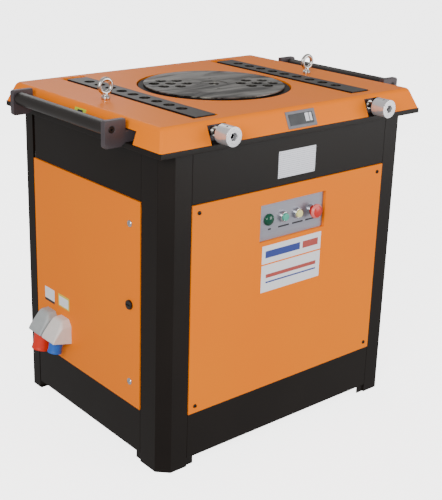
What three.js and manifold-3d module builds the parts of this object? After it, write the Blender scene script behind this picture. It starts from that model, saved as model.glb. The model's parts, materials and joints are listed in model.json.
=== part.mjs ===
// Floor-standing rebar bender: a steel cabinet with a hipped orange table, a slotted turntable with two
// hole clusters, two hole strips moved by lead screws, side rollers, and the gear drive underneath.
// Millimetres, +Z up, front towards -Y. Pieces are modelled about the cabinet's middle on the floor, and the
// finished group is shifted back so that its origin lies under the middle of its overall length.
import * as THREE from "three";
import Module from "manifold-3d";
import { ConvexGeometry } from "three/addons/geometries/ConvexGeometry.js";
import { mergeVertices } from "three/addons/utils/BufferGeometryUtils.js";

// ---- driving dimensions -------------------------------------------------------------------------

const CABINET_WIDTH = 829;
const CABINET_DEPTH = 656;
const TABLE_HEIGHT = 900; // top face of the orange table
const CLEARANCE = 0.3; // between pieces that touch

// Frame: folded corner posts, upper bands and sills
const POST_CHAMFER = 28.6; // 45 degree fold on the outer corner
const FRAME_SHEET = 3;
const LIP_SET = 5; // how far the panel lips sit behind the frame faces
const LIP_WIDTH = 24;
const RETURN_WIDTH = 30; // inward folds of bands and sills
const SILL_BOTTOM = 24; // the posts stand this much lower than the sills
const SOLE_THICKNESS = 4; // plate that closes the foot of each post
const SOLE_SIZE = 70;
const SOLE_INSET = 1; // the plate's edge, inside the post's outer faces

// Panels
const PANEL_HALF_WIDTH = CABINET_WIDTH / 2 - 81.5; // front and rear
const PANEL_SIDE_FRONT = -CABINET_DEPTH / 2 + 93.5; // side panels, front edge
const PANEL_SIDE_REAR = CABINET_DEPTH / 2 - 70.7; // side panels, rear edge
const PANEL_BOTTOM = 149;
const PANEL_TOP = 701;
const PANEL_PROUD = 2; // stands out from the frame
const PANEL_SHEET = 2;
const PANEL_GAP = 1.5; // joint line around each panel
const SCREW_INSET = 20;
const SCREW_HOLE = 3.2;
const THROUGH = 20; // cutting tools run this far past the sheet they pierce

// Table
const TABLE_SKIRT_BOTTOM = TABLE_HEIGHT - 53.3;
const TABLE_TOP_HALF = [CABINET_WIDTH / 2 + 10.5, CABINET_DEPTH / 2 - 3];
const TABLE_FOOT_HALF = [CABINET_WIDTH / 2 + 29.5, CABINET_DEPTH / 2 + 21.5];
const TABLE_THICKNESS = 12;
const SKIRT_SHEET = 4;
const TABLE_EDGE_RADIUS = 9; // the bend between the top and the skirt
const TABLE_CORNER = 5; // cut of the vertical hips
const UNDER_PLATE_THICKNESS = 13.4;

// Turntable
const TABLE_HOLE_RADIUS = 210;
const DISC_RADIUS = 191.5;
const DISC_FLANGE_RADIUS = 206;
const DISC_PROUD = 3.6; // above the table
const DISC_STEP = 6.6; // from the disc face down to its flange
const DISC_THICKNESS = 43;
const PIN_HOLE_RADIUS = 15;
const CLUSTER_RADIUS = 119; // turntable centre to cluster centre
const CLUSTER_PITCH = 44.5;
const CLUSTER_ANGLE = 149.5; // degrees, with the machine at rest
const DISC_CENTRE_BORE = 14.5;
const DISC_CENTRE_DEPTH = 30;
const DISC_HUB_RADIUS = 38;
const DISC_HUB_RECESS = 1.2;
const DISC_EDGE = 2.5;
const DISC_UNDER_CHAMFER = 20;
const DISC_TAPPED_RADIUS = 4;
const DISC_TAPPED_PITCH = 72;
const DISC_TAPPED_DEPTH = 18;

// Hole strips and their lead screws
const STRIP_X = 267.5;
const STRIP_WIDTH = 62;
const STRIP_LENGTH = 556;
const STRIP_THICKNESS = 19;
const STRIP_PROUD = 2.6;
const STRIP_FRONT = -TABLE_FOOT_HALF[1] + 61.5; // front end at rest
const STRIP_TRAVEL = 23;
const STRIP_HOLES = 9;
const STRIP_HOLE_PITCH = 50.5;
const STRIP_HOLE_RADIUS = 14.5;
const STRIP_HOLE_OFFSET = 13; // the hole row sits this far behind the strip's middle
const SLOT_SIDE_GAP = 6.5;
const SLOT_END_GAP = 4;
const SCREW_AXIS_Z = TABLE_HEIGHT - 28.5;
const SCREW_RADIUS = 8;
const SCREW_BORE = SCREW_RADIUS + CLEARANCE;
const SCREW_COLLAR_RADIUS = 12;
const SCREW_COLLAR_LENGTH = 7;
const SCREW_REAR = STRIP_FRONT + 56;
const SUPPORT_BAR_FRONT = -TABLE_FOOT_HALF[1] + 32.5;
const SUPPORT_BAR_REAR = SUPPORT_BAR_FRONT + 10;
const SUPPORT_BAR_HALF = STRIP_X + 45;
const NUT_LENGTH = 28;
const RAIL_LENGTH = 500;
const RAIL_FLOOR = 9;
const RAIL_GROOVE = 34;

// Knobs
const KNOB_RADIUS = 24;
const KNOB_LENGTH = 42;
const KNOB_FRONT = -TABLE_FOOT_HALF[1] - 43.5;
const KNOB_SOCKET_RADIUS = 9.5;
const KNOB_SOCKET_DEPTH = 12;
const KNOB_SET_SCREW = 2.5;
const KNOB_SET_ANGLE = 108; // degrees about the screw, from +X towards +Z
const KNOB_SET_BACK = 0.4 * KNOB_LENGTH; // set screw, behind the knob's face
const KNOB_NOTCH_HALF = 29;
const KNOB_NOTCH_TOP = TABLE_HEIGHT - 10;

// Side rollers
const ROLLER_X = TABLE_FOOT_HALF[0] + 40;
const ROLLER_Z = TABLE_HEIGHT - 18;
const ROLLER_RADIUS = 17;
const ROLLER_WALL = 3;
const ROLLER_HALF = 200;
const ROLLER_END_GAP = 1;
const ROLLER_PLUG = 14; // turned plug in each end of the tube
const BRACKET_THICKNESS = 16;
const BRACKET_OUTER = ROLLER_X + 20;
const BRACKET_TOP = TABLE_HEIGHT + 4;
const BRACKET_BOTTOM = TABLE_HEIGHT - 62;
const BRACKET_INNER = TABLE_FOOT_HALF[0] + 1; // upright inner edge, clear of the skirt
const BRACKET_ARM_INNER = TABLE_FOOT_HALF[0] - 44;
const BRACKET_ARM_GAP = 3; // between the arm and the top of its notch
const BRACKET_FOOT_GAP = 2.5; // from the skirt's foot to the slanted underside
const BRACKET_FOOT_RUN = 12;
const BRACKET_EDGE = 5;
const AXLE_RADIUS = 8;
const AXLE_CENTRE_MARK = [3.2, 4]; // radius and depth of the dimple in each end
const BRACKET_NOTCH_TOP = TABLE_HEIGHT - 23;
const BRACKET_NOTCH_OUT = 25; // from the bracket to the notch edge on the far side of the roller
const BRACKET_NOTCH_IN = 9;

// Controls
const CONTROL_X = [-114, 116]; // opening in the front panel
const CONTROL_Z = [562, 661];
const CONTROL_DEPTH = 8; // plate below the panel face
const CONTROL_PLATE_SHEET = 2;
const CONTROL_BOX_DEPTH = 75;
const CONTROL_ROW_Z = 617;
const CONTROL_PITCH = 49.5;
const CONTROL_FIRST_X = -79;
const OPERATOR_HOLE = 11.3;
const LAMP_RADIUS = 15;
const BUTTON_RADIUS = 10;
const BUTTON_PROUD = 14;
const STOP_RADIUS = 19;
const STOP_PROUD = 30;
const STOP_HEAD = 13;
const STEM_RADIUS = 6;
const STEM_BACK = -30; // behind the control plate
const BARREL_BACK = -34;
const DISPLAY_WIDTH = 100;
const DISPLAY_HEIGHT = 44;
const DISPLAY_DEPTH = 7; // behind the skirt's face
const DISPLAY_PROUD = 1.5;
const DISPLAY_BEZEL = 7;
const DISPLAY_GLASS_SET = 1.2; // the glass, below the bezel

// Door, on the left side
const DOOR_AXIS = [-CABINET_WIDTH / 2 + 7, PANEL_SIDE_REAR - 5.3];
const DOOR_PIVOT_RADIUS = 3.2;
const DOOR_PIVOT_BLOCK = [8, 5.5, 16]; // reach past the axis, half width and height
const DOOR_PIVOT_PLAY = 8; // the pin ends this far short of the lug's inner end
const DOOR_LUG = [7.6, 10, 26]; // thickness, width and height of the pivot lugs
const DOOR_HINGE_GAP = 6; // lets the rear edge swing in, from the door's rear edge to the post
const LOCK_Y = PANEL_SIDE_FRONT + 41.5;
const LOCK_Z = 425;
const LOCK_RADIUS = 12.5;
const LOCK_PROUD = 8; // head, above the door's face
const LOCK_SHAFT = 7;
const LOCK_SLOT = [8, 1.5, 3]; // half length, half width and depth
const LOCK_CAM_HALF = 8;
const LOCK_CAM_LENGTH = 42;
const LOCK_CAM_BACK = [-18, -14]; // behind the cabinet's side face
const LOCK_SHAFT_BACK = -22;
const CATCH_OFFSET = 212; // quarter-turn catches above and below the lock
const CATCH_HOLE = 4;
const BAND_REAR_GAP = 7; // open joint between the left band and the rear post

// Inlets on the door
const INLET_WIDTH = 63;
const INLET_HEIGHT = 71;
const INLET_BOTTOM = 210;
const INLET_REACH = 58;
const INLET_RISE = 13; // the underside climbs this much on the way out
const INLET_TOP_REACH = 20;
const INLET_SHOULDER = 11; // how much narrower the top is on each side
const POWER_INLET_Y = PANEL_SIDE_REAR - 74.3;
const PEDAL_INLET_Y = PANEL_SIDE_REAR - 144.3;
const POWER_COLLAR = { radius: 25, length: 48, pins: 5 };
const PEDAL_COLLAR = { radius: 20, length: 33, pins: 3 };
const COLLAR_WALL = 3;
const COLLAR_FLOOR = 6;
const INLET_PIN_RADIUS = 2.6;
const INLET_PIN_SHORT = 8; // the pins end this far inside the mouth

// Lifting eyes
const EYE_LEFT = [-354, 0];
const EYE_RIGHT = [338, -16];
const EYE_RING = 17.5;
const EYE_WIRE = 5.5;
const EYE_CENTRE = 34; // above the table
const EYE_COLLAR = [11, 8]; // radius and height
const EYE_SHANK = 5;
const EYE_SHANK_LOW = 10; // below the table sheet

// Drive under the table
const MODULE = 6;
const GEAR_TEETH = 48;
const PINION_TEETH = 12;
const GEAR_FACE = 45;
const GEAR_BOTTOM = TABLE_HEIGHT - 165;
const TOOTH_PLAY = 0.5; // flank clearance in the mesh
const SHAFT_RADIUS = 45;
const SHAFT_BOTTOM = TABLE_HEIGHT - 210;
const SHAFT_FLANGE_RADIUS = 57; // inside the inner holes of the clusters
const SHAFT_FLANGE = 10;
const BEARING_WALL = 28;
const BEARING_LENGTH = 24;
const CASE_WALL = 10;
const CASE_BOTTOM = TABLE_HEIGHT - 188;
const CASE_SIDE_GAP = 14;
const PINION_SHAFT = 18;
const PINION_SHAFT_LOW = 30; // into the reducer
const PINION_SHAFT_HIGH = 14; // above the gear
const PINION_EXTRA = 2; // the pinion is this much wider than the gear at each face
const PINION_PLAY = 1;
const REDUCER_HALF = 92;
const REDUCER_HEIGHT = 150;
const MOTOR_RADIUS = 78;
const MOTOR_LENGTH = 230;
const MOTOR_FLANGE = 12;
const MOTOR_COWL = 42;
const MOTOR_FINS = 12;
const MOTOR_FIN = 9;
const MOTOR_FIN_HALF = 2;
const MOTOR_FIN_END = 20;
const TERMINAL_BOX = { half: 48, reach: 38, low: 130, high: 40 };

// Facets of round surfaces
const FINE = 72; // turntable and table hole
const ROUND = 24; // turned pieces
const HOLE = 16;
const SMALL = 10;

// ---- geometry helpers ---------------------------------------------------------------------------

const wasm = await Module();
wasm.setup();

// A three.js geometry as a manifold-3d solid.
function solid(geometry) {
  const bare = geometry.index ? geometry.toNonIndexed() : geometry.clone();
  bare.deleteAttribute("normal");
  bare.deleteAttribute("uv");
  const merged = mergeVertices(bare, 1e-3);
  return new wasm.Manifold(
    new wasm.Mesh({
      numProp: 3,
      vertProperties: merged.attributes.position.array,
      triVerts: new Uint32Array(merged.index.array),
    }),
  );
}

// A manifold-3d solid back as a three.js geometry.
function geometryOf(made) {
  const mesh = made.getMesh();
  const geometry = new THREE.BufferGeometry();
  geometry.setAttribute("position", new THREE.BufferAttribute(mesh.vertProperties, 3));
  geometry.setIndex(new THREE.BufferAttribute(mesh.triVerts, 1));
  geometry.computeVertexNormals();
  return geometry;
}

const join = (...solids) => solids.reduce((a, b) => a.add(b));
const cut = (base, ...tools) => tools.reduce((a, b) => a.subtract(b), base);

// A block between two opposite corners.
function block(low, high) {
  const size = high.map((value, i) => value - low[i]);
  const geometry = new THREE.BoxGeometry(...size);
  geometry.translate(...low.map((value, i) => value + size[i] / 2));
  return solid(geometry);
}

// Cyclic turns that lay the extrusion or lathe axis along X, Y or Z.
const AXIS_TURN = {
  x: new THREE.Matrix4().set(0, 0, 1, 0, 1, 0, 0, 0, 0, 1, 0, 0, 0, 0, 0, 1),
  y: new THREE.Matrix4().set(0, 1, 0, 0, 0, 0, 1, 0, 1, 0, 0, 0, 0, 0, 0, 1),
  z: new THREE.Matrix4(),
};

// A prism of an outline along an axis. Outlines read [y, z] for x, [x, z] for y and [x, y] for z.
function prism(axis, outline, from, to) {
  const swapped = axis === "y";
  const points = outline.map(([u, v]) => (swapped ? new THREE.Vector2(v, u) : new THREE.Vector2(u, v)));
  const shape = new THREE.Shape(points);
  const geometry = new THREE.ExtrudeGeometry(shape, { depth: to - from, bevelEnabled: false });
  geometry.translate(0, 0, from);
  geometry.applyMatrix4(AXIS_TURN[axis]);
  return solid(geometry);
}

// A solid of revolution about an axis through centre. The profile holds [radius, position] pairs.
function turned(axis, profile, centre = [0, 0, 0], segments = ROUND) {
  const geometry = new THREE.LatheGeometry(profile.map(([r, h]) => new THREE.Vector2(r, h)), segments);
  geometry.rotateX(Math.PI / 2);
  geometry.applyMatrix4(AXIS_TURN[axis]);
  geometry.translate(...centre);
  const made = solid(geometry);
  if (made.volume() >= 0) return made;
  return turned(axis, [...profile].reverse(), centre, segments);
}

// A plain round bar along an axis.
function bar(axis, radius, from, to, centre = [0, 0, 0], segments = HOLE) {
  return turned(axis, [[0, from], [radius, from], [radius, to], [0, to]], centre, segments);
}

// A ring along an axis.
function ring(axis, inner, outer, from, to, centre = [0, 0, 0], segments = ROUND) {
  const profile = [[inner, from], [outer, from], [outer, to], [inner, to], [inner, from]];
  return turned(axis, profile, centre, segments);
}

// The frames of the four cabinet sides: local X runs right as seen from outside, Y up, Z outwards.
const SIDE_FRAME = {
  front: new THREE.Matrix4().set(1, 0, 0, 0, 0, 0, -1, -CABINET_DEPTH / 2, 0, 1, 0, 0, 0, 0, 0, 1),
  rear: new THREE.Matrix4().set(-1, 0, 0, 0, 0, 0, 1, CABINET_DEPTH / 2, 0, 1, 0, 0, 0, 0, 0, 1),
  left: new THREE.Matrix4().set(0, 0, -1, -CABINET_WIDTH / 2, -1, 0, 0, 0, 0, 1, 0, 0, 0, 0, 0, 1),
  right: new THREE.Matrix4().set(0, 0, 1, CABINET_WIDTH / 2, 1, 0, 0, 0, 0, 1, 0, 0, 0, 0, 0, 1),
};

// Puts a solid modelled in a side's own frame on that side of the cabinet.
function onSide(side, made) {
  const geometry = geometryOf(made);
  geometry.applyMatrix4(SIDE_FRAME[side]);
  return solid(geometry);
}

// ---- materials and the group --------------------------------------------------------------------

const finish = (color, roughness, metalness) => ({ color, roughness, metalness });
const ORANGE = finish(0xf08020, 0.45, 0.0);
const BLACK = finish(0x241f1d, 0.55, 0.0);
const ROLLER_GREY = finish(0x5c5856, 0.4, 0.7);
const BRACKET_GREY = finish(0x6e666c, 0.5, 0.3);
const MACHINED = finish(0x82807d, 0.35, 0.9);
const STRIP_STEEL = finish(0x6e6a67, 0.4, 0.8);
const ALUMINIUM = finish(0xc9c9c9, 0.3, 0.9);
const BRIGHT_STEEL = finish(0xb8b8b8, 0.25, 1.0);
const CAST_GREY = finish(0x58605c, 0.7, 0.2);
const MOTOR_BLUE = finish(0x3d5a78, 0.5, 0.2);
const BRUSHED = finish(0x9696a5, 0.4, 0.6);
const LENS_GREEN = finish(0x0a5a40, 0.2, 0.0);
const GREEN = finish(0x4fb79b, 0.35, 0.0);
const YELLOW = finish(0xf0e890, 0.35, 0.0);
const RED = finish(0xe04038, 0.35, 0.0);
const BLUE = finish(0x2a6fd0, 0.4, 0.0);
const WHITE = finish(0xe8e2dd, 0.5, 0.0);
const LIGHT_GREY = finish(0xa9adae, 0.5, 0.0);
const DARK_GLASS = finish(0x4c4a52, 0.15, 0.1);
const LOCK_BLACK = finish(0x1b1a1a, 0.4, 0.1);

const machine = new THREE.Group();

function add(name, made, look) {
  const mesh = new THREE.Mesh(geometryOf(made), new THREE.MeshStandardMaterial(look));
  mesh.name = name;
  machine.add(mesh);
}

// ---- frame: posts, bands and sills --------------------------------------------------------------

const halfWidth = CABINET_WIDTH / 2;
const halfDepth = CABINET_DEPTH / 2;
const underPlateBottom = TABLE_SKIRT_BOTTOM - CLEARANCE - UNDER_PLATE_THICKNESS;
const frameTop = underPlateBottom - CLEARANCE;
const foldIn = FRAME_SHEET * Math.tan(Math.PI / 8); // offset of the inner chamfer corners

// Half of a post's section: the flange that runs along +u from the chamfer, outer points then inner ones.
function flange(end, hasLip) {
  if (!hasLip) {
    return {
      outer: [[end, 0], [end, RETURN_WIDTH]],
      inner: [[end - FRAME_SHEET, RETURN_WIDTH], [end - FRAME_SHEET, FRAME_SHEET]],
    };
  }
  return {
    outer: [[end, 0], [end, LIP_SET], [end + LIP_WIDTH, LIP_SET]],
    inner: [
      [end + LIP_WIDTH, LIP_SET + FRAME_SHEET],
      [end - FRAME_SHEET, LIP_SET + FRAME_SHEET],
      [end - FRAME_SHEET, FRAME_SHEET],
    ],
  };
}

// A corner post, with its corner at (xSign, ySign) of the cabinet.
function cornerPost(xSign, ySign, sideEnd, sideHasLip) {
  const along = flange(halfWidth - PANEL_HALF_WIDTH - PANEL_GAP, true);
  const aside = flange(halfDepth - sideEnd, sideHasLip);
  const turn = ([u, v]) => [v, u];
  const outline = [
    ...along.outer,
    ...along.inner,
    [POST_CHAMFER + foldIn, FRAME_SHEET],
    [FRAME_SHEET, POST_CHAMFER + foldIn],
    ...aside.inner.map(turn).reverse(),
    ...aside.outer.map(turn).reverse(),
    [0, POST_CHAMFER],
    [POST_CHAMFER, 0],
  ];
  const place = ([u, v]) => [xSign * (halfWidth - u), ySign * (halfDepth - v)];
  const soleFold = POST_CHAMFER + SOLE_INSET;
  const sole = [
    [soleFold, SOLE_INSET],
    [SOLE_SIZE, SOLE_INSET],
    [SOLE_SIZE, SOLE_SIZE],
    [SOLE_INSET, SOLE_SIZE],
    [SOLE_INSET, soleFold],
  ];
  return join(prism("z", outline.map(place), 0, frameTop), prism("z", sole.map(place), 0, SOLE_THICKNESS));
}

const sideFrontEnd = -PANEL_SIDE_FRONT + PANEL_GAP;
const sideRearEnd = PANEL_SIDE_REAR + PANEL_GAP;
const hingeEnd = PANEL_SIDE_REAR + DOOR_HINGE_GAP;
add("corner_post_front_left", cornerPost(-1, -1, sideFrontEnd, true), BLACK);
add("corner_post_front_right", cornerPost(1, -1, sideFrontEnd, true), BLACK);
add("corner_post_rear_left", cornerPost(-1, 1, hingeEnd, false), BLACK);
add("corner_post_rear_right", cornerPost(1, 1, sideRearEnd, true), BLACK);

// A folded rail in a side's frame: face, panel lip and one inward return. The lip and the return stop
// short of the post lips at both ends.
function rail(from, to, faceLow, faceHigh, lipUp, endLips) {
  const lipAbove = [faceHigh - FRAME_SHEET, faceHigh + LIP_WIDTH];
  const lipBelow = [faceLow - LIP_WIDTH, faceLow + FRAME_SHEET];
  const lip = lipUp ? lipAbove : lipBelow;
  const fold = lipUp ? [faceLow, faceLow + FRAME_SHEET] : [faceHigh - FRAME_SHEET, faceHigh];
  const step = lipUp ? [faceHigh - FRAME_SHEET, faceHigh] : [faceLow, faceLow + FRAME_SHEET];
  const short = [from + endLips[0], to - endLips[1]];
  return join(
    block([from, faceLow, -FRAME_SHEET], [to, faceHigh, 0]),
    block([short[0], step[0], -LIP_SET - FRAME_SHEET], [short[1], step[1], 0]),
    block([short[0], lip[0], -LIP_SET - FRAME_SHEET], [short[1], lip[1], -LIP_SET]),
    block([short[0], fold[0], -RETURN_WIDTH], [short[1], fold[1], 0]),
  );
}

const lipRoom = LIP_WIDTH + 2 * CLEARANCE;
const railHalf = PANEL_HALF_WIDTH + PANEL_GAP - CLEARANCE;
// Along a side's local X: the left side runs from rear to front, the right side from front to rear.
const SIDE_SPAN = {
  front: { ends: [-railHalf, railHalf], lips: [lipRoom, lipRoom] },
  rear: { ends: [-railHalf, railHalf], lips: [lipRoom, lipRoom] },
  left: { ends: [-sideRearEnd + CLEARANCE, sideFrontEnd - CLEARANCE], lips: [RETURN_WIDTH, lipRoom] },
  right: { ends: [-sideFrontEnd + CLEARANCE, sideRearEnd - CLEARANCE], lips: [lipRoom, lipRoom] },
};
const bandLow = PANEL_TOP + PANEL_GAP;
const sillHigh = PANEL_BOTTOM - PANEL_GAP;
for (const [side, { ends, lips }] of Object.entries(SIDE_SPAN)) {
  const from = side === "left" ? ends[0] + BAND_REAR_GAP : ends[0];
  add("top_band_" + side, onSide(side, rail(from, ends[1], bandLow, frameTop, false, lips)), BLACK);
  add("sill_" + side, onSide(side, rail(ends[0], ends[1], SILL_BOTTOM, sillHigh, true, lips)), BLACK);
}

// ---- panels -------------------------------------------------------------------------------------

const panelDepth = PANEL_PROUD + LIP_SET - CLEARANCE;

// A folded pan in a side's frame, open at the back.
function pan(from, to) {
  const back = PANEL_PROUD - panelDepth;
  const shell = block([from, PANEL_BOTTOM, back], [to, PANEL_TOP, PANEL_PROUD]);
  const hollow = block(
    [from + PANEL_SHEET, PANEL_BOTTOM + PANEL_SHEET, back - 1],
    [to - PANEL_SHEET, PANEL_TOP - PANEL_SHEET, PANEL_PROUD - PANEL_SHEET],
  );
  return cut(shell, hollow);
}

// Screw holes in the four corners of a pan.
function cornerHoles(from, to) {
  const holes = [];
  for (const x of [from + SCREW_INSET, to - SCREW_INSET]) {
    for (const y of [PANEL_BOTTOM + SCREW_INSET, PANEL_TOP - SCREW_INSET]) {
      holes.push(bar("z", SCREW_HOLE, -panelDepth, PANEL_PROUD + 1, [x, y, 0], SMALL));
    }
  }
  return holes;
}

const controlOpening = block(
  [CONTROL_X[0], CONTROL_Z[0], -panelDepth],
  [CONTROL_X[1], CONTROL_Z[1], PANEL_PROUD + 1],
);
const widePan = [-PANEL_HALF_WIDTH, PANEL_HALF_WIDTH];
const plainPan = cut(pan(...widePan), ...cornerHoles(...widePan));
add("front_panel", onSide("front", cut(plainPan, controlOpening)), ORANGE);
add("rear_panel", onSide("rear", plainPan), ORANGE);
const sidePan = [PANEL_SIDE_FRONT, PANEL_SIDE_REAR];
add("right_panel", onSide("right", cut(pan(...sidePan), ...cornerHoles(...sidePan))), ORANGE);

// ---- control box --------------------------------------------------------------------------------

const sheetBack = PANEL_PROUD - PANEL_SHEET;
const boxFront = sheetBack - CLEARANCE;
const boxOuter = block(
  [CONTROL_X[0] - PANEL_SHEET, CONTROL_Z[0] - PANEL_SHEET, boxFront - CONTROL_BOX_DEPTH],
  [CONTROL_X[1] + PANEL_SHEET, CONTROL_Z[1] + PANEL_SHEET, boxFront],
);
const boxInner = block(
  [CONTROL_X[0], CONTROL_Z[0], boxFront - CONTROL_BOX_DEPTH + PANEL_SHEET],
  [CONTROL_X[1], CONTROL_Z[1], boxFront + 1],
);
add("control_box", onSide("front", cut(boxOuter, boxInner)), ORANGE);

const plateFace = PANEL_PROUD - CONTROL_DEPTH;
const operatorX = [0, 1, 2, 3].map((i) => CONTROL_FIRST_X + i * CONTROL_PITCH);
const plateBlank = block(
  [CONTROL_X[0] + CLEARANCE, CONTROL_Z[0] + CLEARANCE, plateFace - CONTROL_PLATE_SHEET],
  [CONTROL_X[1] - CLEARANCE, CONTROL_Z[1] - CLEARANCE, plateFace],
);
const operatorHoles = operatorX.map((x) => bar("z", OPERATOR_HOLE, -THROUGH, THROUGH, [x, CONTROL_ROW_Z, 0]));
add("control_plate", onSide("front", cut(plateBlank, ...operatorHoles)), BRUSHED);

// An operator in the front frame, turned from [radius, height over the plate] pairs.
function operator(index, profile) {
  return onSide("front", turned("z", profile, [operatorX[index], CONTROL_ROW_Z, plateFace], 20));
}

const lampBarrel = OPERATOR_HOLE - CLEARANCE;
const lampProfile = [
  [0, BARREL_BACK],
  [lampBarrel, BARREL_BACK],
  [lampBarrel, CLEARANCE],
  [LAMP_RADIUS, CLEARANCE],
  [LAMP_RADIUS, 3],
  [LAMP_RADIUS - 2.5, 6],
  [LAMP_RADIUS - 7, 8.5],
  [0, 9.5],
];
add("pilot_lamp", operator(0, lampProfile), LENS_GREEN);

const pushProfile = [
  [0, STEM_BACK],
  [STEM_RADIUS, STEM_BACK],
  [STEM_RADIUS, 5.5],
  [BUTTON_RADIUS, 5.5],
  [BUTTON_RADIUS, BUTTON_PROUD - 1.5],
  [BUTTON_RADIUS - 2, BUTTON_PROUD],
  [0, BUTTON_PROUD],
];
add("green_button", operator(1, pushProfile), GREEN);
add("yellow_button", operator(2, pushProfile), YELLOW);

const stopUnder = STOP_PROUD - STOP_HEAD;
const stopProfile = [
  [0, BARREL_BACK],
  [STEM_RADIUS, BARREL_BACK],
  [STEM_RADIUS, 9],
  [BUTTON_RADIUS, 9],
  [BUTTON_RADIUS, stopUnder],
  [STOP_RADIUS - 1, stopUnder],
  [STOP_RADIUS, stopUnder + 2],
  [STOP_RADIUS - 1, STOP_PROUD - 5],
  [STOP_RADIUS - 7, STOP_PROUD - 1],
  [0, STOP_PROUD],
];
add("stop_button", operator(3, stopProfile), RED);

// ---- door with its pivots, lock and inlets ------------------------------------------------------

// The door's local X is minus world Y.
const doorEnds = [-PANEL_SIDE_REAR, -PANEL_SIDE_FRONT];
const lugBack = -halfWidth - DOOR_AXIS[0] - DOOR_LUG[0] / 2;
const lugX = -DOOR_AXIS[1];
const lugSpans = [
  [PANEL_BOTTOM + 0.5, PANEL_BOTTOM + DOOR_LUG[2]],
  [PANEL_TOP - DOOR_LUG[2], PANEL_TOP - 0.5],
];
const doorLugs = lugSpans.map(([low, high]) =>
  block([lugX - DOOR_LUG[1] / 2, low, lugBack], [lugX + DOOR_LUG[1] / 2, high, PANEL_PROUD - PANEL_SHEET / 2]),
);
const lockHoles = [bar("z", LOCK_SHAFT + CLEARANCE, -THROUGH, THROUGH, [-LOCK_Y, LOCK_Z, 0])];
for (const offset of [-CATCH_OFFSET, CATCH_OFFSET]) {
  lockHoles.push(bar("z", CATCH_HOLE, -THROUGH, THROUGH, [-LOCK_Y, LOCK_Z + offset, 0], SMALL));
}
const doorPan = cut(join(pan(...doorEnds), ...doorLugs), ...lockHoles);
// The pivot bores run through the lugs only, so the middle of the door stays whole.
const pivotBores = [
  [PANEL_BOTTOM - THROUGH, lugSpans[0][1] + 1],
  [lugSpans[1][0] - 1, PANEL_TOP + THROUGH],
].map(([low, high]) => bar("z", DOOR_PIVOT_RADIUS + CLEARANCE, low, high, [...DOOR_AXIS, 0], SMALL));
add("left_door", cut(onSide("left", doorPan), ...pivotBores), ORANGE);

// A pivot: a block welded inside the rail's face, with the pin that the lug turns on.
function doorPivot(blockLow, blockHigh, pinLow, pinHigh) {
  const seatX = -halfWidth + FRAME_SHEET + CLEARANCE;
  const [reach, half] = DOOR_PIVOT_BLOCK;
  return join(
    block([seatX, DOOR_AXIS[1] - half, blockLow], [DOOR_AXIS[0] + reach, DOOR_AXIS[1] + half, blockHigh]),
    bar("z", DOOR_PIVOT_RADIUS, pinLow, pinHigh, [...DOOR_AXIS, 0], SMALL),
  );
}
const pinTop = lugSpans[0][1] - DOOR_PIVOT_PLAY;
const pinLow = lugSpans[1][0] + DOOR_PIVOT_PLAY;
const lowerPivot = doorPivot(sillHigh - DOOR_PIVOT_BLOCK[2], sillHigh, sillHigh - 2, pinTop);
const upperPivot = doorPivot(bandLow, bandLow + DOOR_PIVOT_BLOCK[2], pinLow, bandLow + 2);
add("door_pivot_lower", lowerPivot, BRIGHT_STEEL);
add("door_pivot_upper", upperPivot, BRIGHT_STEEL);

const lockTop = PANEL_PROUD + LOCK_PROUD;
const lockProfile = [
  [0, LOCK_SHAFT_BACK],
  [LOCK_SHAFT, LOCK_SHAFT_BACK],
  [LOCK_SHAFT, PANEL_PROUD + CLEARANCE],
  [LOCK_RADIUS, PANEL_PROUD + CLEARANCE],
  [LOCK_RADIUS, lockTop - 3],
  [LOCK_RADIUS - 2, lockTop],
  [0, lockTop],
];
const lockHead = turned("z", lockProfile, [-LOCK_Y, LOCK_Z, 0], HOLE);
const [slotLong, slotWide, slotDeep] = LOCK_SLOT;
const lockSlot = block(
  [-LOCK_Y - slotLong, LOCK_Z - slotWide, lockTop - slotDeep],
  [-LOCK_Y + slotLong, LOCK_Z + slotWide, lockTop + 1],
);
// At rest the cam stands upright and the door is free to open; a quarter turn puts it behind the post's lip.
const lockCam = block(
  [-LOCK_Y - LOCK_CAM_HALF, LOCK_Z - LOCK_CAM_HALF, LOCK_CAM_BACK[0]],
  [-LOCK_Y + LOCK_CAM_HALF, LOCK_Z + LOCK_CAM_LENGTH, LOCK_CAM_BACK[1]],
);
add("door_lock", onSide("left", join(cut(lockHead, lockSlot), lockCam)), LOCK_BLACK);

// An inlet hood in the left frame: upright at the back, slanting out towards its tilted underside.
function inletHood(y) {
  const base = PANEL_PROUD + CLEARANCE;
  const top = INLET_BOTTOM + INLET_HEIGHT;
  const outline = [
    [base, INLET_BOTTOM],
    [base + INLET_REACH, INLET_BOTTOM + INLET_RISE],
    [base + INLET_REACH, INLET_BOTTOM + INLET_RISE + 6],
    [base + INLET_TOP_REACH + 6, top - 3],
    [base + INLET_TOP_REACH - 2, top],
    [base, top],
  ];
  // Narrower towards the top, so the shoulders come in.
  const points = [];
  for (const [out, up] of outline) {
    const narrow = up > top - 10 ? INLET_SHOULDER : 0;
    for (const side of [-1, 1]) {
      points.push(new THREE.Vector3(-y + side * (INLET_WIDTH / 2 - narrow), up, out));
    }
  }
  for (const side of [-1, 1]) {
    points.push(new THREE.Vector3(-y + side * (INLET_WIDTH / 2), top - 18, base));
    points.push(new THREE.Vector3(-y + side * (INLET_WIDTH / 2), top - 18, base + INLET_TOP_REACH + 8));
  }
  return solid(new ConvexGeometry(points));
}

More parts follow.
